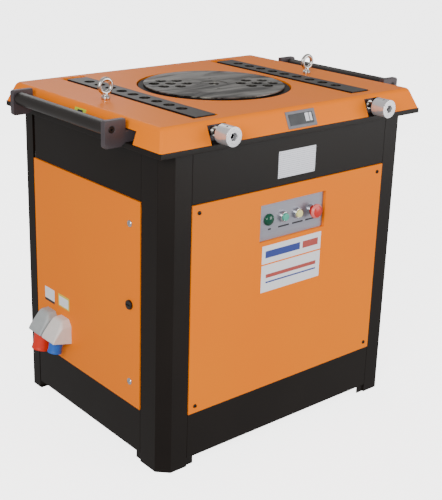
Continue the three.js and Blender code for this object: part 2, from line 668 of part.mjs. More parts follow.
// The collar with its pins stands square to the hood's underside.
function inletCollar(y, { radius, length, pins }) {
  const tilt = Math.atan2(INLET_RISE, INLET_REACH);
  const bore = radius - COLLAR_WALL;
  const tubeProfile = [
    [0, 0],
    [radius, 0],
    [radius, length],
    [bore, length],
    [bore, COLLAR_FLOOR],
    [0, COLLAR_FLOOR],
  ];
  const tube = turned("z", tubeProfile);
  const spread = radius * 0.48;
  const contacts = [];
  for (let i = 0; i < pins; i += 1) {
    const angle = (2 * Math.PI * i) / pins;
    const place = [spread * Math.cos(angle), spread * Math.sin(angle), 0];
    contacts.push(bar("z", INLET_PIN_RADIUS, COLLAR_FLOOR - 1, length - INLET_PIN_SHORT, place, 6));
  }
  const geometry = geometryOf(join(tube, ...contacts));
  geometry.translate(0, 0, CLEARANCE);
  geometry.rotateX(Math.PI / 2 - tilt);
  geometry.translate(-y, INLET_BOTTOM + INLET_RISE / 2, PANEL_PROUD + CLEARANCE + INLET_REACH / 2);
  return solid(geometry);
}

add("power_inlet_housing", onSide("left", inletHood(POWER_INLET_Y)), LIGHT_GREY);
add("power_inlet_collar", onSide("left", inletCollar(POWER_INLET_Y, POWER_COLLAR)), RED);
add("pedal_inlet_housing", onSide("left", inletHood(PEDAL_INLET_Y)), WHITE);
add("pedal_inlet_collar", onSide("left", inletCollar(PEDAL_INLET_Y, PEDAL_COLLAR)), BLUE);

// ---- table --------------------------------------------------------------------------------------

// The skirt's run outwards for each millimetre down.
const skirtDrop = TABLE_HEIGHT - TABLE_SKIRT_BOTTOM;
const skirtRun = TABLE_FOOT_HALF.map((foot, i) => (foot - TABLE_TOP_HALF[i]) / skirtDrop);

// A hipped block: the skirt planes moved in by inset, from the skirt's foot up to top, its top edge rounded.
function hipped(inset, top, radius) {
  const points = [];
  const level = (z, extra) => {
    const x = TABLE_TOP_HALF[0] + skirtRun[0] * (TABLE_HEIGHT - z) - inset - extra;
    const y = TABLE_TOP_HALF[1] + skirtRun[1] * (TABLE_HEIGHT - z) - inset - extra;
    for (const sx of [-1, 1]) {
      for (const sy of [-1, 1]) {
        points.push(new THREE.Vector3(sx * (x - TABLE_CORNER), sy * y, z));
        points.push(new THREE.Vector3(sx * x, sy * (y - TABLE_CORNER), z));
      }
    }
  };
  level(TABLE_SKIRT_BOTTOM, 0);
  const steps = radius > 0 ? 3 : 0;
  for (let i = 0; i <= steps; i += 1) {
    const angle = steps ? (i / steps) * (Math.PI / 2) : 0;
    level(top - radius + radius * Math.sin(angle), radius * (1 - Math.cos(angle)) * 0.72);
  }
  return solid(new ConvexGeometry(points));
}

const tableInside = TABLE_HEIGHT - TABLE_THICKNESS;
const slotHalf = STRIP_WIDTH / 2 + SLOT_SIDE_GAP;
const slotFront = STRIP_FRONT - SLOT_END_GAP;
const slotRear = STRIP_FRONT + STRIP_LENGTH + STRIP_TRAVEL + SLOT_END_GAP;
const cutLow = underPlateBottom - THROUGH;
const cutHigh = TABLE_HEIGHT + THROUGH;
const notchLow = TABLE_SKIRT_BOTTOM - 1;
const knobNotchY = [-TABLE_FOOT_HALF[1] - THROUGH, -TABLE_TOP_HALF[1] + THROUGH];
const bracketNotchX = [BRACKET_ARM_INNER, TABLE_FOOT_HALF[0] + THROUGH];
const bracketNotchY = [
  ROLLER_HALF + ROLLER_END_GAP - BRACKET_NOTCH_IN,
  ROLLER_HALF + ROLLER_END_GAP + BRACKET_THICKNESS + BRACKET_NOTCH_OUT,
];
const ordered = (a, b) => (a < b ? [a, b] : [b, a]);
const tableCuts = [bar("z", TABLE_HOLE_RADIUS, cutLow, cutHigh, [0, 0, 0], FINE)];
for (const side of [-1, 1]) {
  const x = side * STRIP_X;
  tableCuts.push(block([x - slotHalf, slotFront, cutLow], [x + slotHalf, slotRear, cutHigh]));
  tableCuts.push(
    block([x - KNOB_NOTCH_HALF, knobNotchY[0], notchLow], [x + KNOB_NOTCH_HALF, knobNotchY[1], KNOB_NOTCH_TOP]),
  );
  const [xLow, xHigh] = ordered(side * bracketNotchX[0], side * bracketNotchX[1]);
  for (const end of [-1, 1]) {
    const [yLow, yHigh] = ordered(end * bracketNotchY[0], end * bracketNotchY[1]);
    tableCuts.push(block([xLow, yLow, notchLow], [xHigh, yHigh, BRACKET_NOTCH_TOP]));
  }
}
for (const eye of [EYE_LEFT, EYE_RIGHT]) {
  tableCuts.push(bar("z", EYE_SHANK + CLEARANCE, cutLow, cutHigh, [...eye, 0], SMALL));
}

// The counter window sits square in the front skirt.
const skirtLean = Math.atan(skirtRun[1]);
const skirtMiddleZ = (TABLE_HEIGHT + TABLE_SKIRT_BOTTOM) / 2 - 3;
const skirtMiddleY = -(TABLE_TOP_HALF[1] + skirtRun[1] * (TABLE_HEIGHT - skirtMiddleZ));
function inFrontSkirt(made) {
  const geometry = geometryOf(made);
  geometry.rotateX(-skirtLean);
  geometry.translate(0, skirtMiddleY, skirtMiddleZ);
  return solid(geometry);
}
const windowHalf = [DISPLAY_WIDTH / 2, DISPLAY_HEIGHT / 2];
tableCuts.push(
  inFrontSkirt(block([-windowHalf[0], -THROUGH, -windowHalf[1]], [windowHalf[0], THROUGH, windowHalf[1]])),
);
const tableHollow = hipped(SKIRT_SHEET, tableInside, 0).translate([0, 0, -0.5]);
add("table_plate", cut(hipped(0, TABLE_HEIGHT, TABLE_EDGE_RADIUS), tableHollow, ...tableCuts), ORANGE);

const bezelHalf = windowHalf.map((half) => half - CLEARANCE);
const glassHalf = bezelHalf.map((half) => half - DISPLAY_BEZEL);
const displayBody = block(
  [-bezelHalf[0], -DISPLAY_PROUD, -bezelHalf[1]],
  [bezelHalf[0], DISPLAY_DEPTH, bezelHalf[1]],
);
const displayRecess = block(
  [-glassHalf[0], -DISPLAY_PROUD - 1, -glassHalf[1]],
  [glassHalf[0], DISPLAY_GLASS_SET - DISPLAY_PROUD, glassHalf[1]],
);
add("counter_display", inFrontSkirt(cut(displayBody, displayRecess)), DARK_GLASS);

// The black plate that the table stands on and the drive hangs from.
const underPlateTop = underPlateBottom + UNDER_PLATE_THICKNESS;
// The bore's flats stay clear of the shaft's corners at every angle.
const shaftBore = SHAFT_RADIUS / Math.cos(Math.PI / ROUND) + CLEARANCE;
const bearingOuter = shaftBore + BEARING_WALL;
const underPlate = block(
  [-TABLE_FOOT_HALF[0], -TABLE_FOOT_HALF[1], underPlateBottom],
  [TABLE_FOOT_HALF[0], TABLE_FOOT_HALF[1], underPlateTop],
);
const shaftOpening = bar("z", bearingOuter + CLEARANCE, cutLow, cutHigh, [0, 0, 0], ROUND);
add("under_plate", cut(underPlate, shaftOpening), BLACK);

// ---- lifting eyes -------------------------------------------------------------------------------

function liftingEye([x, y]) {
  const centreZ = TABLE_HEIGHT + EYE_CENTRE;
  const wire = new THREE.TorusGeometry(EYE_RING, EYE_WIRE, 8, 20);
  wire.rotateX(Math.PI / 2);
  wire.translate(x, y, centreZ);
  const foot = TABLE_HEIGHT + CLEARANCE;
  const neck = bar("z", EYE_WIRE + 0.6, foot + 2, centreZ - EYE_RING, [x, y, 0], SMALL);
  const collar = bar("z", EYE_COLLAR[0], foot, foot + EYE_COLLAR[1], [x, y, 0]);
  const shank = bar("z", EYE_SHANK, tableInside - EYE_SHANK_LOW, foot + 2, [x, y, 0], SMALL);
  return join(solid(wire), neck, collar, shank);
}
add("lifting_eye_left", liftingEye(EYE_LEFT), BRIGHT_STEEL);
add("lifting_eye_right", liftingEye(EYE_RIGHT), BRIGHT_STEEL);

// ---- side rollers -------------------------------------------------------------------------------

// A bracket's outline on the right-hand side, [x, z]: a cheek outside the skirt and an arm under it.
function bracketOutline() {
  const armTop = BRACKET_NOTCH_TOP - BRACKET_ARM_GAP;
  const armLow = underPlateTop + CLEARANCE;
  const foot = TABLE_FOOT_HALF[0] + BRACKET_FOOT_GAP;
  return [
    [BRACKET_OUTER - BRACKET_EDGE, BRACKET_BOTTOM],
    [BRACKET_OUTER, BRACKET_BOTTOM + BRACKET_EDGE],
    [BRACKET_OUTER, BRACKET_TOP - BRACKET_EDGE],
    [BRACKET_OUTER - BRACKET_EDGE, BRACKET_TOP],
    [BRACKET_INNER, BRACKET_TOP],
    [BRACKET_INNER, armTop],
    [BRACKET_ARM_INNER, armTop],
    [BRACKET_ARM_INNER, armLow],
    [foot, armLow],
    [foot + BRACKET_FOOT_RUN, BRACKET_BOTTOM],
  ];
}

const bracketNear = ROLLER_HALF + ROLLER_END_GAP;
const axleHalf = bracketNear + BRACKET_THICKNESS;
const rollerBore = AXLE_RADIUS + 2 * CLEARANCE;
const tubeBore = ROLLER_RADIUS - ROLLER_WALL;
const rollerProfile = [
  [rollerBore, -ROLLER_HALF],
  [ROLLER_RADIUS - 1, -ROLLER_HALF],
  [ROLLER_RADIUS, -ROLLER_HALF + 1],
  [ROLLER_RADIUS, ROLLER_HALF - 1],
  [ROLLER_RADIUS - 1, ROLLER_HALF],
  [rollerBore, ROLLER_HALF],
  [rollerBore, ROLLER_HALF - ROLLER_PLUG],
  [tubeBore, ROLLER_HALF - ROLLER_PLUG],
  [tubeBore, -ROLLER_HALF + ROLLER_PLUG],
  [rollerBore, -ROLLER_HALF + ROLLER_PLUG],
  [rollerBore, -ROLLER_HALF],
];
for (const [side, sign] of [["left", -1], ["right", 1]]) {
  const centre = [sign * ROLLER_X, 0, ROLLER_Z];
  const outline = bracketOutline().map(([x, z]) => [sign * x, z]);
  for (const [end, dir] of [["front", -1], ["rear", 1]]) {
    const [low, high] = ordered(dir * bracketNear, dir * axleHalf);
    const axleHole = bar("y", AXLE_RADIUS + CLEARANCE, low - THROUGH, high + THROUGH, centre);
    add("roller_bracket_" + side + "_" + end, cut(prism("y", outline, low, high), axleHole), BRACKET_GREY);
  }
  const [markRadius, markDepth] = AXLE_CENTRE_MARK;
  const marks = [-1, 1].map((dir) => {
    const [low, high] = ordered(dir * (axleHalf - markDepth), dir * (axleHalf + markDepth));
    return bar("y", markRadius, low, high, centre, 6);
  });
  add("roller_axle_" + side, cut(bar("y", AXLE_RADIUS, -axleHalf, axleHalf, centre), ...marks), BRIGHT_STEEL);
  add("roller_" + side, turned("y", rollerProfile, centre), ROLLER_GREY);
}

// ---- hole strips, lead screws and knobs ---------------------------------------------------------

const stripTop = TABLE_HEIGHT + STRIP_PROUD;
const stripBottom = stripTop - STRIP_THICKNESS;
const stripRear = STRIP_FRONT + STRIP_LENGTH;
const holeMiddle = (STRIP_FRONT + stripRear) / 2 + STRIP_HOLE_OFFSET;
const firstHole = holeMiddle - (STRIP_HOLE_PITCH * (STRIP_HOLES - 1)) / 2;
const nutHalf = RAIL_GROOVE / 2 - 1;
const nutFront = STRIP_FRONT + 2;
const nutBottom = underPlateTop + RAIL_FLOOR + 2;
const railTop = stripBottom - CLEARANCE;
const railBase = underPlateTop + CLEARANCE;
const railFront = STRIP_FRONT - 2;
const railRear = railFront + RAIL_LENGTH;
const knobRear = KNOB_FRONT + KNOB_LENGTH;
const socketFloor = KNOB_FRONT + KNOB_SOCKET_DEPTH;
const screwFront = socketFloor + 2;

// A lead screw: its two collars hold it in the support bar.
const screwProfile = [
  [0, screwFront],
  [SCREW_RADIUS, screwFront],
  [SCREW_RADIUS, SUPPORT_BAR_FRONT - CLEARANCE - SCREW_COLLAR_LENGTH],
  [SCREW_COLLAR_RADIUS, SUPPORT_BAR_FRONT - CLEARANCE - SCREW_COLLAR_LENGTH],
  [SCREW_COLLAR_RADIUS, SUPPORT_BAR_FRONT - CLEARANCE],
  [SCREW_RADIUS, SUPPORT_BAR_FRONT - CLEARANCE],
  [SCREW_RADIUS, SUPPORT_BAR_REAR + CLEARANCE],
  [SCREW_COLLAR_RADIUS, SUPPORT_BAR_REAR + CLEARANCE],
  [SCREW_COLLAR_RADIUS, SUPPORT_BAR_REAR + CLEARANCE + SCREW_COLLAR_LENGTH],
  [SCREW_RADIUS, SUPPORT_BAR_REAR + CLEARANCE + SCREW_COLLAR_LENGTH],
  [SCREW_RADIUS, SCREW_REAR],
  [0, SCREW_REAR],
];
const knobProfile = [
  [0, KNOB_FRONT],
  [KNOB_RADIUS - 1.5, KNOB_FRONT],
  [KNOB_RADIUS, KNOB_FRONT + 1.5],
  [KNOB_RADIUS, knobRear - 1.5],
  [KNOB_RADIUS - 1.5, knobRear],
  [0, knobRear],
];

const screwHoles = [];
for (const [side, sign] of [["left", -1], ["right", 1]]) {
  const x = sign * STRIP_X;
  const centre = [x, 0, SCREW_AXIS_Z];
  const left = x - STRIP_WIDTH / 2;
  const right = x + STRIP_WIDTH / 2;

  const strip = block([left, STRIP_FRONT, stripBottom], [right, stripRear, stripTop]);
  const nut = block([x - nutHalf, nutFront, nutBottom], [x + nutHalf, nutFront + NUT_LENGTH, stripBottom + 1]);
  const holes = [bar("y", SCREW_BORE, nutFront - THROUGH, SCREW_REAR + 10, centre)];
  for (let i = 0; i < STRIP_HOLES; i += 1) {
    const place = [x, firstHole + i * STRIP_HOLE_PITCH, 0];
    holes.push(bar("z", STRIP_HOLE_RADIUS, stripBottom - THROUGH, stripTop + THROUGH, place));
  }
  add("hole_strip_" + side, cut(join(strip, nut), ...holes), STRIP_STEEL);

  const railBody = block([left, railFront, railBase], [right, railRear, railTop]);
  const groove = block(
    [x - RAIL_GROOVE / 2, railFront - 1, underPlateTop + RAIL_FLOOR],
    [x + RAIL_GROOVE / 2, railRear + 1, railTop + 1],
  );
  add("strip_rail_" + side, cut(railBody, groove), STRIP_STEEL);

  add("lead_screw_" + side, turned("y", screwProfile, centre, HOLE), BRIGHT_STEEL);
  screwHoles.push(bar("y", SCREW_BORE, SUPPORT_BAR_FRONT - THROUGH, SUPPORT_BAR_REAR + THROUGH, centre));

  const socket = bar("y", KNOB_SOCKET_RADIUS, KNOB_FRONT - 1, socketFloor, centre, 6);
  const bore = bar("y", SCREW_BORE, socketFloor - 1, knobRear + 1, centre);
  const setHole = geometryOf(bar("x", KNOB_SET_SCREW, SCREW_RADIUS, KNOB_RADIUS + 5, [0, 0, 0], SMALL));
  setHole.rotateY((-KNOB_SET_ANGLE * Math.PI) / 180);
  setHole.translate(x, KNOB_FRONT + KNOB_SET_BACK, SCREW_AXIS_Z);
  add("knob_" + side, cut(turned("y", knobProfile, centre), socket, bore, solid(setHole)), ALUMINIUM);
}
const supportBar = block(
  [-SUPPORT_BAR_HALF, SUPPORT_BAR_FRONT, railBase],
  [SUPPORT_BAR_HALF, SUPPORT_BAR_REAR, tableInside - 1],
);
add("screw_support_bar", cut(supportBar, ...screwHoles), BRACKET_GREY);

// ---- turntable ----------------------------------------------------------------------------------

const discTop = TABLE_HEIGHT + DISC_PROUD;
const discBottom = discTop - DISC_THICKNESS;
const discStep = discTop - DISC_STEP;
const hubTop = discTop - DISC_HUB_RECESS;
const discProfile = [
  [0, discBottom],
  [DISC_FLANGE_RADIUS - DISC_UNDER_CHAMFER, discBottom],
  [DISC_FLANGE_RADIUS, discBottom + DISC_UNDER_CHAMFER],
  [DISC_FLANGE_RADIUS, discStep],
  [DISC_RADIUS + 0.5, discStep],
  [DISC_RADIUS, discTop - DISC_EDGE],
  [DISC_RADIUS - DISC_EDGE, discTop],
  [DISC_HUB_RADIUS, discTop],
  [DISC_HUB_RADIUS, hubTop],
  [0, hubTop],
];
const discHoles = [bar("z", DISC_CENTRE_BORE, discTop - DISC_CENTRE_DEPTH, cutHigh, [0, 0, 0], ROUND)];
for (const half of [0, 180]) {
  const angle = ((CLUSTER_ANGLE + half) * Math.PI) / 180;
  const middle = [CLUSTER_RADIUS * Math.cos(angle), CLUSTER_RADIUS * Math.sin(angle)];
  discHoles.push(bar("z", PIN_HOLE_RADIUS, cutLow, cutHigh, [...middle, 0]));
  for (let i = 0; i < 6; i += 1) {
    const around = angle + (i * Math.PI) / 3;
    const place = [Math.cos(around), Math.sin(around)].map((part, k) => middle[k] + CLUSTER_PITCH * part);
    discHoles.push(bar("z", PIN_HOLE_RADIUS, cutLow, cutHigh, [...place, 0]));
  }
  const tapped = angle + Math.PI / 2;
  const place = [DISC_TAPPED_PITCH * Math.cos(tapped), DISC_TAPPED_PITCH * Math.sin(tapped), 0];
  discHoles.push(bar("z", DISC_TAPPED_RADIUS, discTop - DISC_TAPPED_DEPTH, cutHigh, place, SMALL));
}
add("turntable_disc", cut(turned("z", discProfile, [0, 0, 0], FINE), ...discHoles), MACHINED);

const shaftTop = discBottom - CLEARANCE;
const shaftProfile = [
  [0, SHAFT_BOTTOM],
  [SHAFT_RADIUS - 2, SHAFT_BOTTOM],
  [SHAFT_RADIUS, SHAFT_BOTTOM + 2],
  [SHAFT_RADIUS, shaftTop - SHAFT_FLANGE],
  [SHAFT_FLANGE_RADIUS, shaftTop - SHAFT_FLANGE],
  [SHAFT_FLANGE_RADIUS, shaftTop],
  [0, shaftTop],
];
add("main_shaft", turned("z", shaftProfile), BRIGHT_STEEL);

// A spur gear blank with straight-flanked teeth, the first tooth or gap towards +Y.
function spurGear(teeth, toothFirst, bore, low, high) {
  const pitchRadius = (MODULE * teeth) / 2;
  const step = (2 * Math.PI) / teeth;
  const tip = pitchRadius + 0.85 * MODULE;
  const root = pitchRadius - 1.15 * MODULE;
  const play = TOOTH_PLAY / pitchRadius;
  const rootHalf = step * 0.36 - play;
  const tipHalf = step * 0.15 - play / 2;
  const outline = [];
  for (let i = 0; i < teeth; i += 1) {
    const middle = Math.PI / 2 + step * (i + (toothFirst ? 0 : 0.5));
    const corners = [[root, -rootHalf], [tip, -tipHalf], [tip, tipHalf], [root, rootHalf]];
    for (const [radius, turn] of corners) {
      outline.push([radius * Math.cos(middle + turn), radius * Math.sin(middle + turn)]);
    }
  }
  const blank = prism("z", outline, low, high);
  return bore ? cut(blank, bar("z", bore, low - 5, high + 5, [0, 0, 0], ROUND)) : blank;
}

const gearTop = GEAR_BOTTOM + GEAR_FACE;
add("main_gear", spurGear(GEAR_TEETH, true, SHAFT_RADIUS + CLEARANCE, GEAR_BOTTOM, gearTop), MACHINED);

const centreDistance = (MODULE * (GEAR_TEETH + PINION_TEETH)) / 2;
const reducerTop = CASE_BOTTOM - CLEARANCE;
// The pinion is modelled on the origin with a gap towards -Y, where the gear's tooth meets it.
const pinionFaces = [GEAR_BOTTOM - PINION_EXTRA, gearTop + PINION_EXTRA];
const pinionTeeth = spurGear(PINION_TEETH, PINION_TEETH % 2 === 1, 0, ...pinionFaces);
const pinionShaft = bar("z", PINION_SHAFT, reducerTop - PINION_SHAFT_LOW, gearTop + PINION_SHAFT_HIGH);
add("drive_pinion", join(pinionTeeth, pinionShaft).translate([0, centreDistance, 0]), MACHINED);

// ---- gear case, bearings, reducer and motor -----------------------------------------------------

const gearReach = (MODULE * GEAR_TEETH) / 2 + MODULE + CASE_SIDE_GAP;
const pinionReach = centreDistance + (MODULE * PINION_TEETH) / 2 + MODULE + CASE_SIDE_GAP;
const caseOuter = block(
  [-gearReach - CASE_WALL, -gearReach - CASE_WALL, CASE_BOTTOM],
  [gearReach + CASE_WALL, pinionReach + CASE_WALL, frameTop],
);
const caseInner = block(
  [-gearReach, -gearReach, CASE_BOTTOM + CASE_WALL],
  [gearReach, pinionReach, frameTop + THROUGH],
);
const lowerBearing = [CASE_BOTTOM + CASE_WALL - BEARING_LENGTH, CASE_BOTTOM + CASE_WALL];
const bearingSeat = bar("z", bearingOuter + CLEARANCE, lowerBearing[0], GEAR_BOTTOM, [0, 0, 0], ROUND);
const pinionPlace = [0, centreDistance, 0];
const pinionHole = bar("z", PINION_SHAFT + PINION_PLAY, CASE_BOTTOM - THROUGH, GEAR_BOTTOM, pinionPlace);
add("gear_case", cut(caseOuter, caseInner, bearingSeat, pinionHole), CAST_GREY);

const upperBearing = [underPlateTop - BEARING_LENGTH, underPlateTop];
add("main_bearing_upper", ring("z", shaftBore, bearingOuter, ...upperBearing), BRIGHT_STEEL);
add("main_bearing_lower", ring("z", shaftBore, bearingOuter, ...lowerBearing), BRIGHT_STEEL);

const reducerLow = reducerTop - REDUCER_HEIGHT;
const reducerBlank = block(
  [-REDUCER_HALF, centreDistance - REDUCER_HALF, reducerLow],
  [REDUCER_HALF, centreDistance + REDUCER_HALF, reducerTop],
);
const reducerBoreLow = reducerTop - PINION_SHAFT_LOW - 10;
const reducerBore = bar("z", PINION_SHAFT + PINION_PLAY, reducerBoreLow, reducerTop + 1, pinionPlace);
add("reducer_housing", cut(reducerBlank, reducerBore), CAST_GREY);

const motorTop = reducerLow - CLEARANCE;
const motorLow = motorTop - MOTOR_LENGTH;
const motorPieces = [
  bar("z", MOTOR_RADIUS, motorLow, motorTop, pinionPlace, ROUND),
  bar("z", REDUCER_HALF - 4, motorTop - MOTOR_FLANGE, motorTop, pinionPlace, ROUND),
  bar("z", MOTOR_RADIUS + MOTOR_FIN, motorLow, motorLow + MOTOR_COWL, pinionPlace, ROUND),
  block(
    [-TERMINAL_BOX.half, centreDistance - MOTOR_RADIUS - TERMINAL_BOX.reach, motorTop - TERMINAL_BOX.low],
    [TERMINAL_BOX.half, centreDistance - MOTOR_RADIUS / 2, motorTop - TERMINAL_BOX.high],
  ),
];
for (let i = 0; i < MOTOR_FINS; i += 1) {
  const fin = block(
    [MOTOR_RADIUS - 4, -MOTOR_FIN_HALF, motorLow + MOTOR_FIN_END],
    [MOTOR_RADIUS + MOTOR_FIN - 1, MOTOR_FIN_HALF, motorTop - MOTOR_FIN_END],
  );
  motorPieces.push(fin.rotate([0, 0, (360 * (i + 0.5)) / MOTOR_FINS]).translate(pinionPlace));
}
add("motor", join(...motorPieces), MOTOR_BLUE);

// The knobs reach further in front than the table does behind.
machine.position.y = -(KNOB_FRONT + TABLE_FOOT_HALF[1]) / 2;

export default machine;
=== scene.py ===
import json
import math

import bmesh
import bpy
from mathutils import Matrix, Vector


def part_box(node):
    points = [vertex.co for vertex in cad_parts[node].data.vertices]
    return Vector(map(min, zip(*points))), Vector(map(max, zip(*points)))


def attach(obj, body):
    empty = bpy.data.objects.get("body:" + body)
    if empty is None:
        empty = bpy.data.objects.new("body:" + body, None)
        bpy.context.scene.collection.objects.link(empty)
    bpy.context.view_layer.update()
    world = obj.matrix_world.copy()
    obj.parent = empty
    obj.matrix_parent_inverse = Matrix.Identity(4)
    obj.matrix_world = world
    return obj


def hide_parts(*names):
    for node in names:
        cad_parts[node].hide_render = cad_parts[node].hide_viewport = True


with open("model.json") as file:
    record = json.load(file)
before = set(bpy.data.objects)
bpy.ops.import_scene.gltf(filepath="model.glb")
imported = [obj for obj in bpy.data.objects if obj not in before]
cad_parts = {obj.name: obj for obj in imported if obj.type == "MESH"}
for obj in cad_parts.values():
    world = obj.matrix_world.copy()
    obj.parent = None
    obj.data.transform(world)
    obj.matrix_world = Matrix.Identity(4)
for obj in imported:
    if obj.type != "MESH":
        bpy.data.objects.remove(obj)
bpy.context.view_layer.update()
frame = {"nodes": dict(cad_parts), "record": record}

# ---- camera ----
# A long lens stands off the front left corner and looks down a little on the table.
# Its shift keeps the machine where it belongs in the frame.
LENS_LENGTH = 72.213984
SENSOR_WIDTH = 36
CAMERA_PLACE = (-1.7447, -2.0401, 1.4210)
CAMERA_YAW = 0.685
CAMERA_PITCH = 0.323
CAMERA_ROLL = 0.022
CAMERA_SHIFT = (0.0545, -0.0645)

forward = Vector((
    math.sin(CAMERA_YAW) * math.cos(CAMERA_PITCH),
    math.cos(CAMERA_YAW) * math.cos(CAMERA_PITCH),
    -math.sin(CAMERA_PITCH),
))
level_right = forward.cross(Vector((0, 0, 1))).normalized()
level_up = level_right.cross(forward)
right = level_right * math.cos(CAMERA_ROLL) + level_up * math.sin(CAMERA_ROLL)
up = level_up * math.cos(CAMERA_ROLL) - level_right * math.sin(CAMERA_ROLL)
camera_data = bpy.data.cameras.new("camera")
camera_data.sensor_fit = "AUTO"
camera_data.sensor_width = SENSOR_WIDTH
camera_data.lens = LENS_LENGTH
camera_data.shift_x, camera_data.shift_y = CAMERA_SHIFT
camera = bpy.data.objects.new("camera", camera_data)
camera_turn = Matrix((right, up, -forward)).transposed().to_4x4()
camera.matrix_world = Matrix.Translation(CAMERA_PLACE) @ camera_turn
bpy.context.scene.collection.objects.link(camera)
bpy.context.scene.camera = camera

# ---- floor and light ----
# A pale seamless floor under a white room, with painted shade where the cabinet stands over it. One broad
# lamp hangs at the front left, a weaker one fills in from the right, and a third behind draws the rear edges.


def linear(colour):
    """An sRGB hex colour as linear RGBA."""
    parts = [int(colour[i:i + 2], 16) / 255 for i in (1, 3, 5)]
    return [c / 12.92 if c <= 0.04045 else ((c + 0.055) / 1.055) ** 2.4 for c in parts] + [1.0]


def add_node(tree, kind, inputs=(), **settings):
    """Adds a node with its settings. An input is given a value or another node's output to link to."""
    made = tree.nodes.new(kind)
    for name, value in settings.items():
        setattr(made, name, value)
    for name, value in dict(inputs).items():
        if isinstance(value, bpy.types.NodeSocket):
            tree.links.new(value, made.inputs[name])
        else:
            made.inputs[name].default_value = value
    return made


def start_material(name):
    """A material with an empty tree, and the object coordinates its patterns read."""
    made = bpy.data.materials.new(name)
    made.use_nodes = True
    made.node_tree.nodes.clear()
    place = add_node(made.node_tree, "ShaderNodeTexCoord").outputs["Object"]
    return made, made.node_tree, place


def end_material(tree, **inputs):
    """The shader and the output; underscores in the names stand for spaces."""
    sockets = {name.replace("_", " "): value for name, value in inputs.items()}
    shader = add_node(tree, "ShaderNodeBsdfPrincipled", sockets)
    add_node(tree, "ShaderNodeOutputMaterial", {"Surface": shader.outputs["BSDF"]})


FLOOR_SIZE = 70
FLOOR_GLOW = 3.5
CABINET_MIDDLE = 0.022
PAINTED_SHADE_START = (0.30, 0.22)  # half the width and depth of the fully dark patch, then of its soft edge
PAINTED_SHADE_END = (0.36, 0.28)
PAPER_CLOUD = 1 / 1.5
# Matt paper, barely uneven. It glows, so that it stays white without throwing light on the machine.
paper, tree, place = start_material("studio_paper")
tone = add_node(tree, "ShaderNodeTexNoise", {"Vector": place, "Scale": 1 / PAPER_CLOUD})
shade = add_node(
    tree, "ShaderNodeMix",
    {"Factor": tone.outputs["Fac"], 6: linear("#F6F5F3"), 7: linear("#F1F0EE")}, data_type="RGBA",
)
# The glow fades out in a patch under the cabinet: painted shade on the floor.
apart = add_node(tree, "ShaderNodeSeparateXYZ", {"Vector": place})
across = add_node(tree, "ShaderNodeMath", {0: apart.outputs["X"]}, operation="ABSOLUTE")
centred = add_node(tree, "ShaderNodeMath", {0: apart.outputs["Y"], 1: -CABINET_MIDDLE}, operation="ADD")
deep = add_node(tree, "ShaderNodeMath", {0: centred.outputs["Value"]}, operation="ABSOLUTE")
lit_across, lit_deep = [
    add_node(
        tree, "ShaderNodeMapRange",
        {"Value": distance.outputs["Value"], "From Min": start, "From Max": end},
    )
    for distance, start, end in zip((across, deep), PAINTED_SHADE_START, PAINTED_SHADE_END)
]
lit = add_node(
    tree, "ShaderNodeMath", {0: lit_across.outputs["Result"], 1: lit_deep.outputs["Result"]},
    operation="MAXIMUM",
)
glow = add_node(tree, "ShaderNodeMath", {0: lit.outputs["Value"], 1: FLOOR_GLOW}, operation="MULTIPLY")
end_material(
    tree, Base_Color=shade.outputs[2], Roughness=0.9, Emission_Color=linear("#FFFFFF"),
    Emission_Strength=glow.outputs["Value"],
)
floor_mesh = bpy.data.meshes.new("floor")
bm = bmesh.new()
bmesh.ops.create_grid(bm, x_segments=1, y_segments=1, size=FLOOR_SIZE / 2)
bm.to_mesh(floor_mesh)
bm.free()
floor_mesh.materials.append(paper)
floor = bpy.data.objects.new("floor", floor_mesh)
floor.visible_diffuse = False
floor.visible_glossy = False
bpy.context.scene.collection.objects.link(floor)

ROOM_STRENGTH = 0.5
AIM_HEIGHT = 0.6
world = bpy.data.worlds.new("studio")
world.use_nodes = True
world.node_tree.nodes["Background"].inputs["Color"].default_value = linear("#FFFFFF")
world.node_tree.nodes["Background"].inputs["Strength"].default_value = ROOM_STRENGTH
bpy.context.scene.world = world

# Name, place, size across, watts
for lamp_name, lamp_place, lamp_size, lamp_power in [
    ("key_light", (-3.2, -2.2, 2.2), 1.8, 125),
    ("fill_light", (2.4, -3.4, 1.2), 2.4, 95),
    ("back_light", (1.0, 3.2, 2.8), 2.0, 25),
]:
    lamp_data = bpy.data.lights.new(lamp_name, "AREA")
    lamp_data.shape = "SQUARE"
    lamp_data.size = lamp_size
    lamp_data.energy = lamp_power
    lamp = bpy.data.objects.new(lamp_name, lamp_data)
    towards = Vector((0, 0, AIM_HEIGHT)) - Vector(lamp_place)
    lamp.matrix_world = Matrix.Translation(lamp_place) @ towards.to_track_quat("-Z", "Y").to_matrix().to_4x4()
    bpy.context.scene.collection.objects.link(lamp)

# ---- black frame ----
# Corner posts, upper bands and sills are folded from 3 mm sheet and welded into one frame, and a thick
# plate closes its top. All of it is powder coated black: a fine grain that scatters a soft sheen.

bodies = frame["record"]["behaviour"]["bodies"]
body_with = {node: body for body, nodes in bodies.items() for node in nodes}


def cad_copy(node):
    """A CAD node's shape with its loose triangles joined into whole faces."""
    made = bmesh.new()
    made.from_mesh(frame["nodes"][node].data)
    bmesh.ops.remove_doubles(made, verts=made.verts, dist=0.00002)
    bmesh.ops.dissolve_limit(made, angle_limit=math.radians(0.5), verts=made.verts, edges=made.edges)
    return made


def soften(made, width, segments=2, sharper_than=30, spare=None):
    """Rounds the edges sharper than an angle, except where spare says no."""
    edges = [
        edge for edge in made.edges
        if len(edge.link_faces) == 2
        and edge.calc_face_angle() > math.radians(sharper_than)
        and not (spare and spare(edge))
    ]
    bmesh.ops.bevel(
        made, geom=edges, offset=width, segments=segments, profile=0.5, affect="EDGES",
        material=-1, clamp_overlap=True,
    )


